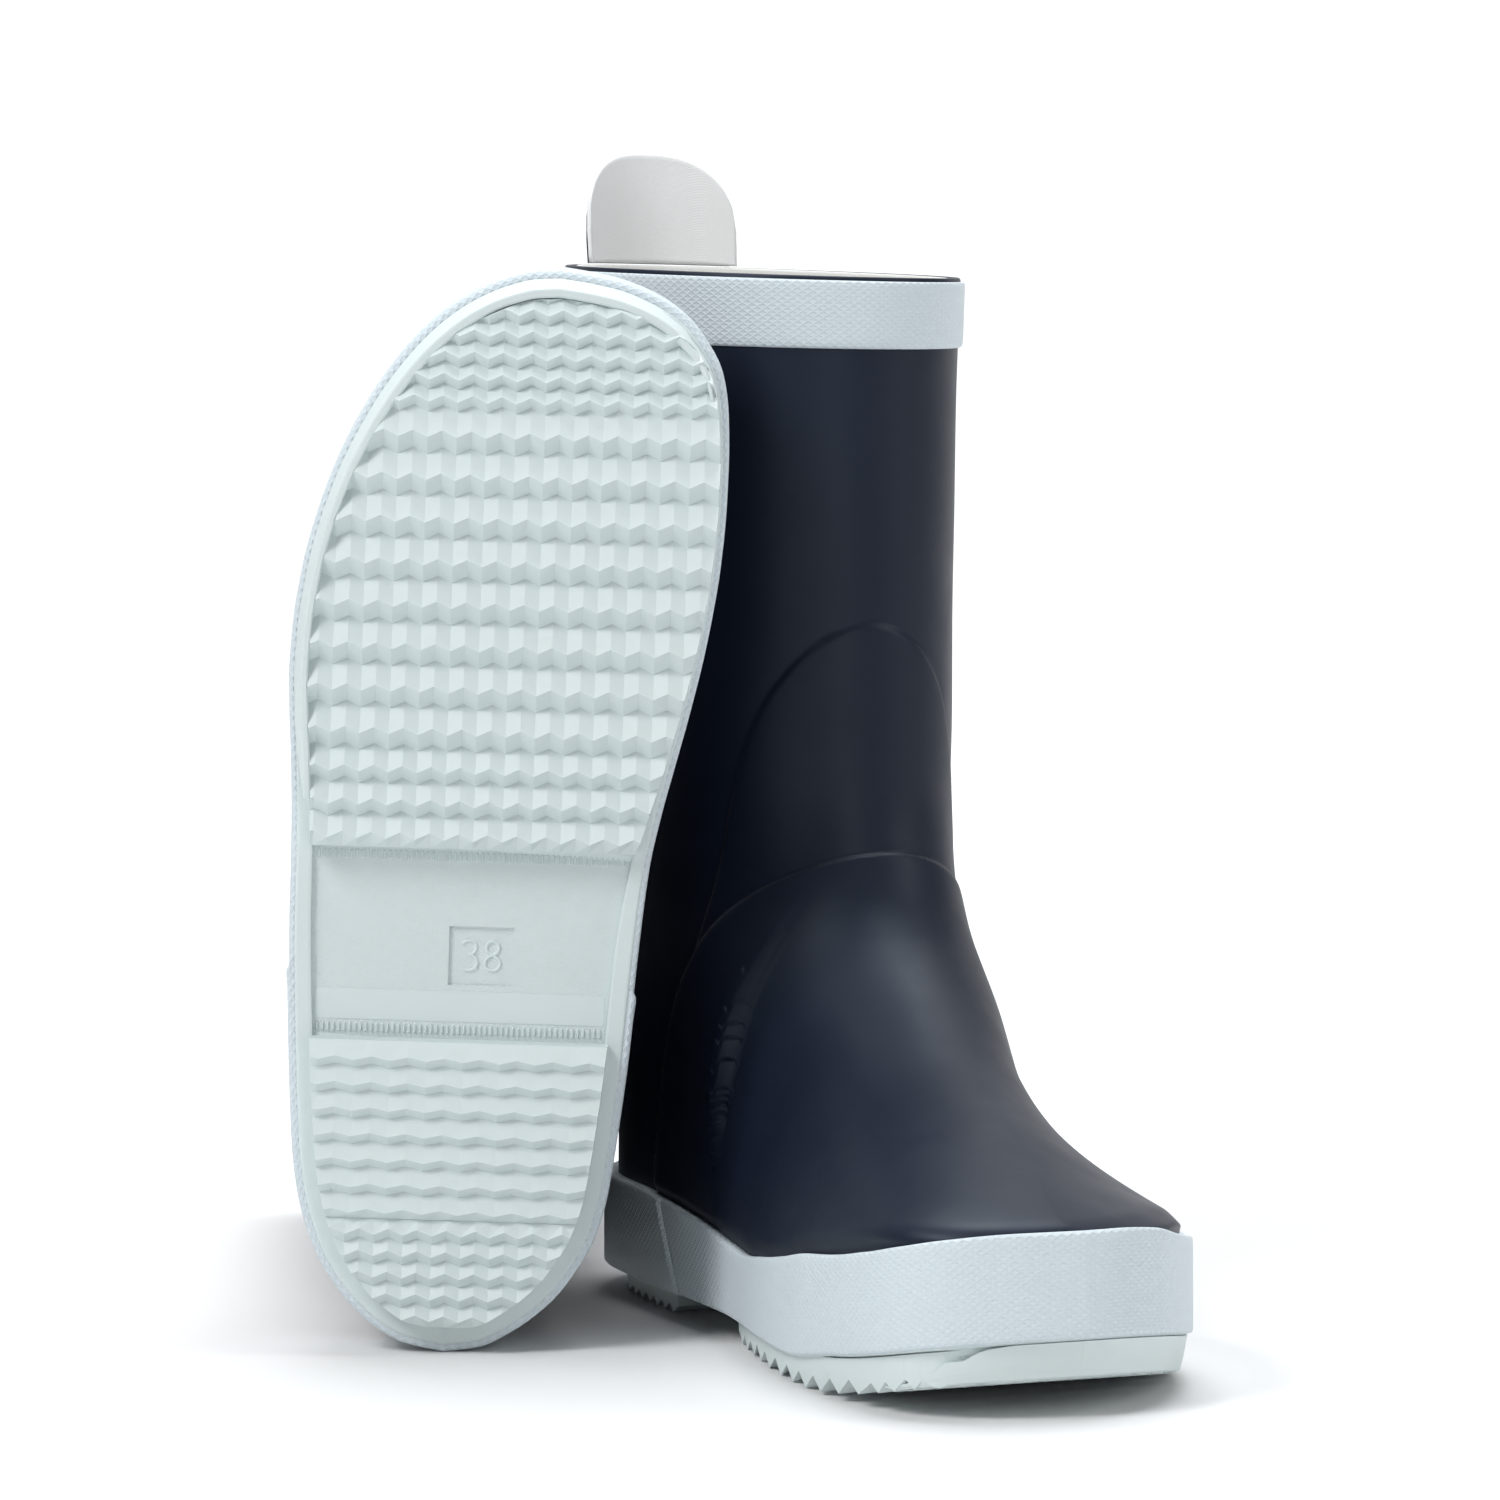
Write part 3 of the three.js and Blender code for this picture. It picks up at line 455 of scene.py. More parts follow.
def upper(side):
    nc = 480 if FINE else 200
    lv = np.r_[np.linspace(FLOOR0, 30, 8)[:-1], np.linspace(30, 62, 64 if FINE else 26)[:-1], np.linspace(62, 130, 110 if FINE else 40)[:-1], np.linspace(130, 190, 84 if FINE else 30)[:-1], np.linspace(190, RIM - 0.7, 40)]
    s = np.arange(nc) / nc
    S, Lv = np.meshgrid(s, lv)
    P = skin_point(S, Lv)
    low = P[..., 2] > 0
    vamp = smooth(-0.45, 0.45, sd_edge(P, edge_table(VAMP_EDGE)))
    shin = smooth(-0.5, 0.5, sd_edge(P, edge_table(SHIN_EDGE))) * (P[..., 2] > 60)
    shin = np.maximum(shin, vamp)
    crease = np.exp(-(sd_edge(P, edge_table(VAMP_EDGE)) / 1.6) ** 2) * 0.18 + np.exp(-(sd_edge(P, edge_table(SHIN_EDGE)) / 1.6) ** 2) * 0.12 * (P[..., 2] > 92)
    off = 1.15 * vamp + 0.8 * shin - crease
    # the sheet thins out under the foxing, which clamps it
    off = off * smooth(0, 5, P[..., 2] - fox_top(P[..., 0]) + 2.0)
    # slight unevenness of hand-laid rubber
    off = off + 0.12 * np.sin(S * 2 * np.pi * 3 + Lv * 0.05) * smooth(70, 120, Lv)
    outer = skin(S, Lv, off)
    rim = [skin(s, np.full_like(s, RIM - 0.2), -0.15), skin(s, np.full_like(s, RIM), -0.5), skin(s, np.full_like(s, RIM), -1.1), skin(s, np.full_like(s, RIM - 0.25), -1.5)]
    li = np.r_[np.linspace(RIM - 1, 60, 24), np.linspace(57, 20, 10)]
    S2, L2 = np.meshgrid(s, li)
    inner = skin(S2, L2, -UP_T)
    bottom = [flat(s, FLOOR0, -UP_T, FLOOR0 + UP_T), flat(s, FLOOR0, -16, FLOOR0 + UP_T), flat(s, FLOOR0, -16, FLOOR0), flat(s, FLOOR0, -0.6, FLOOR0)]
    V = np.concatenate([outer, np.array(rim), inner, np.array(bottom)], 0)
    o = ring_piece(side + "_upper", V, [NAVY], side)
    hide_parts(side + "_upper_shell", side + "_vamp_overlay", side + "_shin_overlay")
    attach(o, side + "_boot")
    return o


def lining(side):
    nc = 192; s = np.arange(nc) / nc
    lo = 14.6; t = 1.0; a, b = -2.9, -3.9
    lv = np.r_[np.linspace(19, 62, 20), np.linspace(68, RIM - 0.9, 30)]
    S, Lv = np.meshgrid(s, lv)
    outer = skin(S, Lv, a); inner = skin(S, Lv[::-1], b)
    rim = [skin(s, np.full_like(s, RIM - 0.35), a - 0.2), skin(s, np.full_like(s, RIM - 0.2), a - 0.5), skin(s, np.full_like(s, RIM - 0.35), b + 0.2)]
    V = np.concatenate([[flat(s, lo, a - 1, lo)], [flat(s, lo, a, lo + 1)], outer, np.array(rim), inner, [flat(s, lo, b, lo + t + 1.2)], [flat(s, lo, b - 1.2, lo + t)]], 0)
    o = capsule_piece(side + "_lining_sock", V, [LINING], side)
    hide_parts(side + "_lining"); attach(o, side + "_boot")
    return o


def stiffener(side, name, s0, s1, lv0, lv1):
    s = np.linspace(s0, s1, 60); lv = np.linspace(lv0, lv1, 16)
    S, L = np.meshgrid(s, lv); S2, L2 = np.meshgrid(s, lv[::-1])
    V = np.concatenate([skin(S, L, -1.9), skin(S2, L2, -2.6)], 0)
    o = strip_piece(side + "_" + name + "_sheet", V, [STIFF], side)
    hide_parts(side + "_" + name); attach(o, side + "_boot")


def band(side):
    nc = 480 if FINE else 200; s = np.arange(nc) / nc
    lo, hi = RIM - 18.2, RIM - 1.0
    prof = [(lo + 0.1, 0.05), (lo, 0.45), (lo + 0.25, 0.85), (lo + 0.9, 1.12)] + [(z, 1.22) for z in np.linspace(lo + 2, hi - 2, 12)] + [(hi - 0.7, 1.18), (hi - 0.2, 1.0), (hi, 0.6), (hi - 0.05, 0.05)]
    V = np.array([skin(s, np.full_like(s, z), d) for z, d in prof])
    o = ring_piece(side + "_rim_band", V, [TRIM], side)
    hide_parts(side + "_top_band"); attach(o, side + "_boot")


_sides = {}


def plan_side(sgn, d):
    k = (sgn, round(float(d), 4))
    if k not in _sides:
        _sides[k] = Side(MEDIAL if sgn < 0 else LATERAL, d)
    return _sides[k]


def plan(s, d):
    """plan points at inset d (a number) for ring parameter s"""
    w = np.asarray(s, float) % 1
    t = np.where(w <= 0.5, 2 * np.pi * w, 2 * np.pi * (1 - w))
    A, B = plan_side(-1, d), plan_side(1, d)
    x = np.where(w <= 0.5, A.x0 + (A.x1 - A.x0) * (1 - np.cos(t)) / 2, B.x0 + (B.x1 - B.x0) * (1 - np.cos(t)) / 2)
    y = np.where(w <= 0.5, -A.y(t), B.y(t))
    return x, y


SEAM_S = math.acos(1 - 2 * SEAM / 270) / (2 * math.pi)


def fox_top_side(x, inner):
    """the band stands a little higher round the toe tip and lower on the outer side of the toes"""
    a = [[150, 0], [185, -0.5], [200, -1.0], [220, -2.0], [238, -2.3], [250, -0.6], [260, 1.6], [268, 3.2], [272, 3.3]]
    b = [[150, 0], [198, 0], [222, -3.0], [240, -3.0], [252, -1.2], [262, 2.0], [268, 3.2], [272, 3.3]]
    return fox_top(x) + np.where(inner, pchip(a, x), pchip(b, x))


def foxing(side, name, s0, s1, grow, slant):
    heel = name == "heel_strip"
    n = 260 if heel else 480
    base = np.linspace(0, 1, n)
    L0, T0 = float(fox_low(SEAM)), float(fox_top(SEAM))
    prof = [(FOX_T + 0.5, 0, 0.3), (1.1 - grow, 0, 0.0), (0.45 - grow, 0, 0.2), (0.12 - grow, 0, 0.6), (-grow, 0, 1.1)]
    prof += [(-grow, f, 0) for f in np.linspace(0.07, 0.93, 16)]
    prof += [(0.05 - grow, 1, -0.9), (0.3 - grow, 1, -0.35), (0.8 - grow, 1, -0.05), (1.5 - grow, 1, 0), (FOX_T + 0.9, 1, -0.35)]
    rows = []
    for d, f, dz in prof:
        mid = 0 < f < 1
        frac = (1.1 + (T0 - L0 - 2.0) * f) / (T0 - L0) if mid else min(1, max(0, f + dz / (T0 - L0)))
        ds = slant * (0.5 - frac)
        a, b = (s0 - ds, s1 + ds) if heel else (s0 + ds, s1 - ds)
        ss = a + (b - a) * base
        x, y = plan(ss, d)
        inner = (ss % 1) <= 0.5
        e = np.minimum(base, 1 - base) * (b - a) * 800
        if d >= FOX_T + 0.5:
            x2, y2 = plan(ss, d + 2.6)
            w = smooth(246, 262, x) * (f == 1)
            x = x + (x2 - x) * w; y = y + (y2 - y) * w
        elif heel:
            x3, y3 = plan(ss, d + 0.6)
            lift = np.sqrt(np.clip(1 - (1 - np.clip(e / 0.9, 0, 1)) ** 2, 0, 1)) + 0.55 * np.exp(-((e - 2.0) / 0.8) ** 2)
            x = x3 + (x - x3) * lift; y = y3 + (y - y3) * lift
        else:
            flare = 0.6 * smooth(222, 255, x) * (1 - f) if d < 1 else 0 * x
            x3, y3 = plan(ss, d - 0.5)
            x = x + (x3 - x) * flare / 0.5; y = y + (y3 - y) * flare / 0.5
        lo = fox_low(x); hi = fox_top_side(x, inner)
        z = lo + 1.1 + (hi - lo - 2.0) * f if mid else lo + (hi - lo) * f + dz
        rows.append(np.stack([x, y, z], -1))
    o = strip_piece(side + "_" + name + "_strip", np.array(rows), [TRIM], side)
    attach(o, side + "_boot")
    return o


def tab(side):
    S = math.asin(23.3 / 47.5) / (2 * math.pi); n = 61
    u = np.linspace(-1, 1, n); s = u * S
    h = 9 + 20 * np.power(np.maximum(0, 1 - np.abs(u) ** 2.6), 1 / 2.1)
    base = RIM + 0.35

    def sheet(o0, o1, shrink):
        v = np.r_[np.linspace(0, 0.9, 22), 0.95, 0.985, 1.0]
        rows = []
        hh = h - shrink; ss = s * (1 - shrink / 30)
        for k in v:
            rows.append(skin(ss, base + k * hh, o0 if k < 0.99 else o0 - 0.25 * np.sign(o0 - o1)))
        for k in v[::-1]:
            rows.append(skin(ss, base + k * hh, o1 if k < 0.99 else o1 + 0.25 * np.sign(o0 - o1)))
        return np.array(rows)
    a = strip_piece(side + "_tab_rubber", sheet(0.0, -1.5, 2.6), [NAVY], side)
    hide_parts(side + "_pull_tab"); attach(a, side + "_tab")
    b = strip_piece(side + "_tab_cloth", sheet(-1.55, -2.7, 0.0), [TABCLOTH], side)
    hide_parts(side + "_pull_tab_facing"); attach(b, side + "_tab")


def footbed(side):
    nc = 144; s = np.arange(nc) / nc; lo, hi = 16.3, 20.3; d = -5.3
    cup = lambda P: P
    rows = [flat(s, lo, d - 0.8, lo), flat(s, lo, d - 0.2, lo + 0.3), flat(s, lo, d, lo + 1), flat(s, lo, d, hi - 1), flat(s, lo, d - 0.3, hi - 0.3), flat(s, lo, d - 1.0, hi), flat(s, lo, d - 4, hi - 0.2), flat(s, lo, d - 9, hi - 0.5)]
    o = capsule_piece(side + "_footbed_pad", np.array(rows), [BED], side)
    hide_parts(side + "_footbed"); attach(o, side + "_footbed_body")


# ---------------------------------------------------------------- the sole
TURN = math.radians(3.0)


def ac_to_xy(a, c):
    return a * math.cos(TURN) - c * math.sin(TURN), a * math.sin(TURN) + c * math.cos(TURN) - 135 * math.sin(TURN)


def field(rows, a0, half, amp, dh, c_lim, top):
    """heightfield solid of zigzag ridges; rows is a list of (pitch, depth, up fraction) from a0 backwards"""
    aa = [(a0 + 3, rows[0][1])] if False else []
    a = a0; aa.append((a, rows[0][1], amp))
    for p, d, f in rows:
        aa.append((a - p * f, 0.0, amp)); a -= p; aa.append((a, d, amp))
    nj = int(2 * c_lim / half) + 1
    cs = (np.arange(nj) - nj // 2) * half
    sig = np.where((np.arange(nj) - nj // 2) % 2 == 0, 1.0, -1.0)
    V = []
    for k, (av, hv, am) in enumerate(aa):
        edge = k in (0, len(aa) - 1)
        x, y = ac_to_xy(av + (0 if edge else am * sig), cs)
        V.append(np.stack([x, y, spring(x) + hv + (0 if edge else dh * sig )], -1))
    V = np.array(V)
    T = V.copy(); T[..., 2] = spring(V[..., 0]) + top
    R, C = V.shape[:2]
    vb, Fb, _ = grid(V); vt, Ft, _ = grid(T)
    F = [f[::-1] for f in Fb.tolist()] + [[i + R * C for i in f] for f in Ft.tolist()]
    n = R * C
    for i in range(C - 1):
        F.append([i, i + 1, i + 1 + n, i + n]); k = (R - 1) * C
        F.append([k + i + 1, k + i, k + i + n, k + i + 1 + n])
    for j in range(R - 1):
        F.append([(j + 1) * C, j * C, j * C + n, (j + 1) * C + n])
        F.append([j * C + C - 1, (j + 1) * C + C - 1, (j + 1) * C + C - 1 + n, j * C + C - 1 + n])
    return np.concatenate([vb, vt]), F


def prism(d_low, d_high, z_low, z_high, n=200):
    """tapered solid on the foot's outline; d_* give the inset by x for (inner, outer) side"""
    s = np.arange(n) / n
    def ringp(dm, dl, zf):
        A, B = Side(MEDIAL, dm), Side(LATERAL, dl)
        w = s; t = np.where(w <= 0.5, 2 * np.pi * w, 2 * np.pi * (1 - w))
        x = np.where(w <= 0.5, A.x0 + (A.x1 - A.x0) * (1 - np.cos(t)) / 2, B.x0 + (B.x1 - B.x0) * (1 - np.cos(t)) / 2)
        y = np.where(w <= 0.5, -A.y(t), B.y(t))
        return np.stack([x, y, zf(x)], -1)
    lo = ringp(*d_low, z_low); hi = ringp(*d_high, z_high)
    k = (lo[:, 2] + 4) / (hi[:, 2] - lo[:, 2])
    lo2 = lo + (lo - hi) * k[:, None]
    hi2 = hi.copy(); hi2[:, 2] = 45
    V = np.concatenate([lo2, hi, hi2]); F = []
    for r in range(2):
        for i in range(n):
            j = (i + 1) % n
            F.append([r * n + i, r * n + j, r * n + n + j, r * n + n + i])
    F.append(list(range(n))[::-1]); F.append(list(range(2 * n, 3 * n)))
    return V, F


def raw(name, V, F):
    me = bpy.data.meshes.new(name); me.from_pydata(np.asarray(V).tolist(), [], [list(f) for f in F]); me.validate(); me.update()
    import bmesh
    bm = bmesh.new(); bm.from_mesh(me); bmesh.ops.recalc_face_normals(bm, faces=bm.faces); bm.to_mesh(me); bm.free()
    o = bpy.data.objects.new(name, me); bpy.context.scene.collection.objects.link(o)
    return o


def boolean(a, b, op):
    md = a.modifiers.new("b", "BOOLEAN"); md.operation = op; md.solver = "MANIFOLD"; md.object = b
    dg = bpy.context.evaluated_depsgraph_get(); dg.update()
    me = bpy.data.meshes.new_from_object(a.evaluated_get(dg))
    V = np.array([v.co[:] for v in me.vertices]); F = [list(p.vertices) for p in me.polygons]
    for o in (a, b):
        m = o.data; bpy.data.objects.remove(o); bpy.data.meshes.remove(m)
    bpy.data.meshes.remove(me)
    return V, F


def tread_parts():
    dm = lambda x: pchip(TREAD_INSET, x, 1); dl = lambda x: pchip(TREAD_INSET, x, 2)
    um = lambda x: dm(x) - 0.5; ul = lambda x: dl(x) - 0.4
    parts = []
    fore = [(5.4, 2.6, 0.52)] * 6 + [(10.5, 3.6, 0.57)] * 8 + [(8.3, 3.1, 0.6)] * 3
    heel1 = [(6.4, 2.1, 0.66)] * 7; heel2 = [(5.4, 2.0, 0.55)] * 5
    for nm, rows, a0, half, amp, dh in (("fore", fore, 268.6, 3.6, 0.85, 0.12), ("heel1", heel1, 79.0, 4.5, 0.48, 0.14), ("heel2", heel2, 34.2, 3.6, 0.75, 0.12)):
        V, F = field(rows, a0, half, amp, dh, 66, 8.6)
        a = raw("t_" + nm, V, F)
        Vp, Fp = prism((dm, dl), (um, ul), lambda x: spring(x), lambda x: spring(x) + 8.0)
        b = raw("p_" + nm, Vp, Fp)
        parts.append(boolean(a, b, "INTERSECT"))
    return parts


def box_faces(x0, x1, y0, y1, z0, z1):
    V = [ac_to_xy(a, c) + (z,) for z in (z0, z1) for a, c in ((x0, y0), (x1, y0), (x1, y1), (x0, y1))]
    return V, [[3, 2, 1, 0], [4, 5, 6, 7], [0, 1, 5, 4], [1, 2, 6, 5], [2, 3, 7, 6], [3, 0, 4, 7]]


DIGITS = {"3": [[(-1, 1.55), (-0.6, 1.95), (0, 2.05), (0.65, 1.9), (0.95, 1.4), (0.85, 0.65), (0.3, 0.15), (-0.1, 0.08)], [(0.3, 0.12), (0.95, -0.35), (1.1, -1.0), (0.85, -1.7), (0.1, -2.05), (-0.65, -1.95), (-1.1, -1.5)]],
          "8": [[(0, 2.05), (0.65, 1.85), (0.9, 1.2), (0.7, 0.5), (0, 0.12), (-0.7, 0.5), (-0.9, 1.2), (-0.65, 1.85), (0, 2.05)], [(0, 0.12), (0.8, -0.3), (1.1, -1.0), (0.8, -1.75), (0, -2.05), (-0.8, -1.75), (-1.1, -1.0), (-0.8, -0.3), (0, 0.12)]]}


def stroke(pts, w, z0, h, origin, scale):
    """rounded raised line on the sole; pts in digit units, x to the reader's right, y up"""
    P = np.array(pts, float)
    s = np.r_[0, np.cumsum(np.hypot(*np.diff(P, axis=0).T))]; u = np.linspace(0, s[-1], 28)
    P = np.c_[np.interp(u, s, P[:, 0]), np.interp(u, s, P[:, 1])]
    for _ in range(2):
        P[1:-1] = (P[:-2] + 2 * P[1:-1] + P[2:]) / 4
    P = P * scale
    T = np.gradient(P, axis=0); T /= np.linalg.norm(T, axis=1, keepdims=True); N = np.c_[-T[:, 1], T[:, 0]]
    rows = []
    for k in np.linspace(0, math.pi, 7):
        off = P + N * (w * math.cos(k)); zz = z0 - h * math.sin(k)
        # reader's up is towards the toe; reader's right is towards the inner side
        x, y = ac_to_xy(origin[0] + off[:, 1], origin[1] - off[:, 0])
        rows.append(np.stack([x, y, np.full(len(P), zz)], -1))
    V = np.array(rows); v, F, _ = grid(V)
    F = F.tolist()
    n = V.shape[1]; F.append([0 + k * n for k in range(7)]); F.append([n - 1 + k * n for k in range(7)][::-1])
    # flat back
    for i in range(n - 1):
        F.append([i + 1, i, 6 * n + i, 6 * n + i + 1])
    return v, F


def sole(side, parts):
    V, F, M = [], [], []
    n = 0

    def add(v, f, mi):
        nonlocal n
        v = np.asarray(v, float).reshape(-1, 3)
        V.append(v); F.extend([[i + n for i in q] for q in f]); M.extend([mi] * len(f)); n += len(v)
    for v, f in parts:
        add(v, f, 0)
    # plate inside the foxing
    ns = 240; s = np.arange(ns) / ns
    def ring_at(d, zf):
        x, y = plan(s, d); return np.stack([x, y, zf(x)], -1)
    under = lambda x: spring(x) + 7.0 + 2.0 * smooth(77, 79, x) * (1 - smooth(126.5, 128.5, x))
    rows = np.array([ring_at(3.3, lambda x: spring(x) + 9.7), ring_at(3.3, lambda x: under(x) + 0.3), ring_at(3.6, lambda x: under(x))])
    v, f, _ = grid(rows, True)
    f = f.tolist()
    if not signed_outward(v, np.array(f)):
        f = [q[::-1] for q in f]
    edges = {(q[i], q[(i + 1) % 4]) for q in f for i in range(4)}
    for o in (0, 2 * ns):
        cap = []
        for i in range(ns // 2):
            q = [o + i, o + i + 1, o + (ns - i - 1) % ns, o + (ns - i) % ns]
            cap.append([x for j, x in enumerate(q) if x not in q[:j]])
        if (cap[1][0], cap[1][1]) in edges:
            cap = [q[::-1] for q in cap]
        f += cap
    add(v, f, 0)
    # border strip between the foxing and the tread, all the way round
    nb = 480; sb = np.arange(nb) / nb; inner = sb <= 0.5
    xb_, _ = plan(sb, 2.5)
    dt = np.where(inner, pchip(TREAD_INSET, xb_, 1), pchip(TREAD_INSET, xb_, 2)) + 0.5
    p0 = np.stack(plan(sb, 1.5), -1); p1 = np.stack(plan(sb, 9.5), -1)

    def at(d):
        return p0 + (p1 - p0) * ((d - 1.5) / 8.0)[:, None]
    loop = []
    for d, dz in ((np.full(nb, 1.4), 0.9), (np.full(nb, 1.45), -0.05), (np.full(nb, 1.7), -0.3), (np.full(nb, 2.1), -0.42), (np.maximum(2.5, dt - 0.6), -0.45), (dt, -0.3), (dt, 1.2)):
        q = at(d); loop.append(np.c_[q, fox_low(q[:, 0]) + dz])
    v, f, _ = grid(np.array(loop), True, True)
    if not signed_outward(v, f):
        f = f[:, ::-1]
    add(v, f.tolist(), 0)
    # lip round the toe: low at its ends, where the teeth reach the edge, full height round the tip
    ss = np.linspace(0.398, 0.748, 340)
    full = smooth(0.404, 0.474, ss) * (1 - smooth(0.726, 0.748, ss))
    fade = smooth(0.398, 0.410, ss) * (1 - smooth(0.740, 0.748, ss))
    xm, ym = plan(ss, 3.0); xo, yo = plan(ss, 1.3); xn, yn = plan(ss, 6.1)
    tall = 6.45 + 2.4 * smooth(188, 222, xm)
    h = 0.9 + (tall - 0.9) * full
    tooth = 2 * np.abs(np.mod((268.6 - xm) / 5.4, 1) - 0.5) - 0.5
    h = h + 1.5 * tooth * smooth(0.02, 0.2, full) * (1 - smooth(0.75, 1.0, full)) * (ss < 0.5)
    k = np.clip(1 - h / tall, 0, 1)
    zb = spring(xm) + 0.3 + 0.8 * (1 - fade)
    mixp = lambda a, b, t: (a[0] + (b[0] - a[0]) * t, a[1] + (b[1] - a[1]) * t)
    T_ = mixp((xo, yo), (xm, ym), k); wid = 0.3 + 0.5 * smooth(0.404, 0.45, ss) - 0.18 * smooth(0.58, 0.66, ss)
    I_ = mixp((xm, ym), (xn, yn), wid)
    sh = mixp(T_, (xm, ym), 0.5)
    prof = [np.stack([*T_, zb + h], -1), np.stack([*sh, zb + h * 0.45], -1), np.stack([xm, ym, zb + 0.55], -1), np.stack([*mixp((xm, ym), I_, 0.12), zb + 0.12], -1),
            np.stack([*mixp((xm, ym), I_, 0.3), zb], -1), np.stack([*mixp((xm, ym), I_, 0.8), zb], -1), np.stack([*I_, zb + 0.5], -1), np.stack([*I_, zb + h], -1)]
    R = np.array(prof); v, f, _ = grid(R, False, True)
    if not signed_outward(v, f):
        f = f[:, ::-1]
    f = f.tolist(); edges = {(q[i], q[(i + 1) % 4]) for q in f for i in range(4)}
    C = R.shape[1]
    for e in (0, C - 1):
        c = [kk * C + e for kk in range(len(prof))]
        if (c[0], c[1]) in edges:
            c = c[::-1]
        f.append(c)
    add(v, f, 0)
    VV = np.concatenate(V)
    o = new_object(side + "_sole_tread", VV, F, [SOLE], side, None, False, M)
    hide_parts(side + "_outsole"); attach(o, side + "_boot")
    # waist panel: plate with a sunk square, ribs at both ends, hatching on its middle
    dm = lambda x: pchip(TREAD_INSET, x, 1) + 0.2; dl = lambda x: pchip(TREAD_INSET, x, 2) + 0.2
    Vb, Fb = box_faces(78.6, 127.4, -60, 60, 8.1, 9.4)
    a = raw("w", Vb, Fb)
    Vp, Fp = prism((dm, dl), (lambda x: dm(x) - 0.8, lambda x: dl(x) - 0.8), lambda x: 0 * x + 7.5, lambda x: 0 * x + 10.5)
    v1, f1 = boolean(a, raw("wp", Vp, Fp), "INTERSECT")
    Vs, Fs = box_faces(92.6, 107.4, -7.2, 8.8, 5, 8.9)
    v1, f1 = boolean(raw("w1", v1, f1), raw("ws", Vs, Fs), "DIFFERENCE")
    tri_uv = lambda v, f: [[(v[i][0], v[i][1]) for i in q] for q in f]
    w = new_object(side + "_waist_panel", v1, f1, [HATCH], side, tri_uv(v1, f1), False)
    w.parent = None
    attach(w, side + "_boot")
    # ribs and smooth lower strip
    V2, F2, n2 = [], [], 0
    def add2(v, f):
        nonlocal n2
        v = np.asarray(v, float).reshape(-1, 3); V2.append(v); F2.extend([[i + n2 for i in q] for q in f]); n2 += len(v)
    A, B = Side(MEDIAL, dm), Side(LATERAL, dl)
    for a0, a1 in ((80.2, 82.6), (123.6, 126.0)):
        xm = (a0 + a1) / 2
        lo_c, hi_c = -float(A.at(xm)) + 6.6, float(B.at(xm)) + 0.5
        lo_c = -float(A.at(xm)) + 1.5 + 135 * math.sin(TURN) - xm * math.sin(TURN); hi_c = float(B.at(xm)) - 1.5 + 135 * math.sin(TURN) - xm * math.sin(TURN)
        c = lo_c
        while c < hi_c:
            vv = []
            for aa_ in (a0, a0 + 0.3, a1 - 0.3, a1):
                z = 8.1 if aa_ in (a0, a1) else 7.6
                for cc, zz in ((c, 8.2), (c + 0.22, z), (c + 0.5, z), (c + 0.72, 8.2)):
                    x, y = ac_to_xy(aa_, cc); vv.append((x, y, zz))
            ff = []
            for i in range(3):
                for j in range(3):
                    ff.append([i * 4 + j, (i + 1) * 4 + j, (i + 1) * 4 + j + 1, i * 4 + j + 1])
            ff.append([0, 3, 15, 12])
            add2(vv, ff); c += 1.35
    x1, x2 = 83.4, 91.0
    bm_, bl_ = -float(A.at(87)) + 1.0, float(B.at(87)) - 1.0
    off = 135 * math.sin(TURN) - 87 * math.sin(TURN)
    v, f = box_faces(x1, x2, bm_ + off + 0.3, bl_ + off - 0.3, 7.95, 8.6); add2(v, f)
    if True:
        for ch, cx in (("3", -2.9), ("8", 2.9)):
            for pts in DIGITS[ch]:
                v, f = stroke(pts, 0.42, 8.95, 0.5, (100.0, 0.8 - cx), 1.85); add2(v, f)
    r = new_object(side + "_waist_details", np.concatenate(V2), F2, [SOLE], side, None, False)
    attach(r, side + "_boot")


PARTS = tread_parts()
for side in ("left", "right"):
    upper(side); lining(side); band(side); tab(side); footbed(side)
    stiffener(side, "toe_puff", 8 / 24, 16 / 24, 26, 54.5)
    stiffener(side, "heel_counter", -4 / 24, 4 / 24, 26, 61)
    o = foxing(side, "foxing_band", SEAM_S + 0.0006, 1 - SEAM_S - 0.0006, 0.0, 0.018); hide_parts(side + "_foxing_band")
    o = foxing(side, "heel_strip", -SEAM_S - 0.0006, SEAM_S + 0.0006, 0.5, 0.018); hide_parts(side + "_heel_foxing_strip")
    sole(side, PARTS)
    for nm, m in (("insole_board", None), ("sole_filler", None)):
        n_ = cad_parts[side + "_" + nm]
        mm = plain(side + nm, (0.40, 0.31, 0.2) if nm == "insole_board" else (0.2, 0.2, 0.2), 0.9)
        for i in range(max(1, len(n_.data.materials))):
            if len(n_.data.materials):
                n_.material_slots[i].material = mm
            else:
                n_.data.materials.append(mm)

# ---------------------------------------------------------------- stage
OX, OY = 9.72, 9.335             # the photo set-up's origin in the row frame, mm


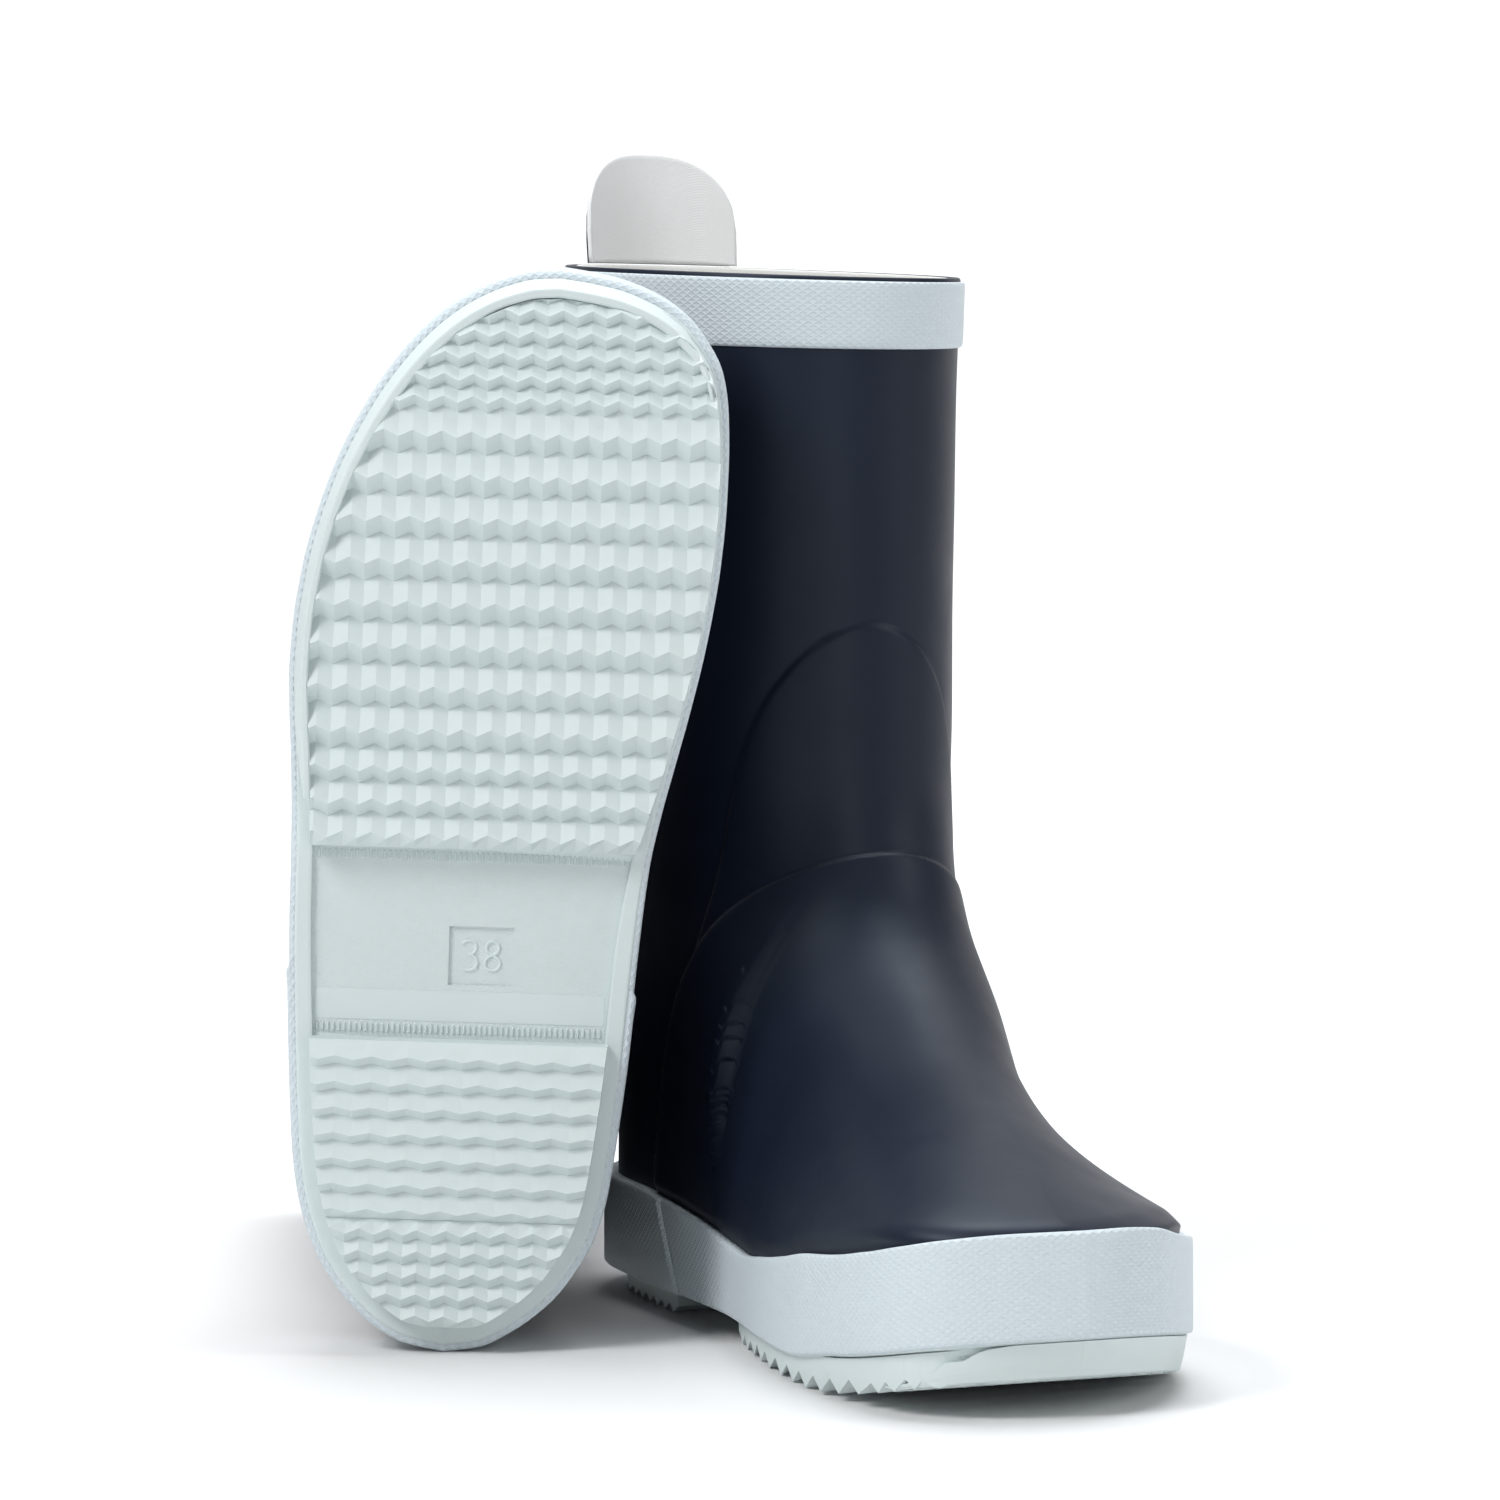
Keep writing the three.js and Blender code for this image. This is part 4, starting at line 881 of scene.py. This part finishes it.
def floor():
    n, m = 2, 40
    a = np.linspace(0.04, 1, 24) * math.pi / 2
    ys = np.r_[np.linspace(-5, 2.8, 40), 2.8 + 1.2 * np.sin(a), 4.0]
    zs = np.r_[np.zeros(40), 1.2 * (1 - np.cos(a)), 5.0]
    V = np.array([[(x, y, z - 0.0002) for x in (-6, 6)] for y, z in zip(ys, zs)])
    v, F, _ = grid(V)
    me = bpy.data.meshes.new("studio_floor"); me.from_pydata(v.tolist(), [], F.tolist())
    m_, nt, b = mat("studio_paper")
    nt.links.new(mix_colour(nt, noise(nt, 3, 3), (0.775, 0.775, 0.775), (0.79, 0.79, 0.79)), b.inputs["Base Color"])
    b.inputs["Roughness"].default_value = 0.85
    me.materials.append(m_)
    me.polygons.foreach_set("use_smooth", [True] * len(me.polygons))
    o = bpy.data.objects.new("studio_floor", me); bpy.context.scene.collection.objects.link(o)


floor()
scn = bpy.context.scene
world = scn.world or bpy.data.worlds.new("World"); scn.world = world; world.use_nodes = True
bg = world.node_tree.nodes["Background"]; bg.inputs[0].default_value = (0.97, 0.985, 1.0, 1); bg.inputs[1].default_value = 0.20


def area(name, loc, target, size, size_y, power, colour=(1, 1, 1)):
    d = bpy.data.lights.new(name, "AREA"); d.shape = "RECTANGLE"; d.size = size; d.size_y = size_y; d.energy = power; d.color = colour
    o = bpy.data.objects.new(name, d); scn.collection.objects.link(o); o.location = loc
    o.rotation_euler = (Vector(target) - Vector(loc)).to_track_quat("-Z", "Y").to_euler()
    return o


area("key", (-1.3, -1.25, 1.7), (0, 0, 0.12), 0.7, 0.9, 34)
area("top", (0.15, 0.25, 2.3), (0, 0, 0.1), 1.6, 1.2, 34, (0.93, 0.97, 1.0))
area("front", (0.75, -2.3, 0.75), (0.03, 0, 0.15), 0.35, 1.2, 6)
area("right", (1.7, -0.4, 1.0), (0, 0, 0.12), 0.5, 1.2, 7)
area("backdrop", (0, 1.3, 3.0), (0, 4.0, 0.6), 4.0, 1.0, 130)

cam = bpy.data.cameras.new("camera"); cam.sensor_width = 36; cam.lens = 8085 / 1500 * 36; cam.clip_start = 0.05; cam.clip_end = 100
co = bpy.data.objects.new("camera", cam); scn.collection.objects.link(co)
co.location = (OX / 1000, (-2100 + OY) / 1000, 0.318)
co.rotation_euler = (math.radians(90 - 4.78), 0, 0)
scn.camera = co
scn.view_settings.view_transform = "Standard"; scn.view_settings.look = "None"; scn.view_settings.exposure = 0.0
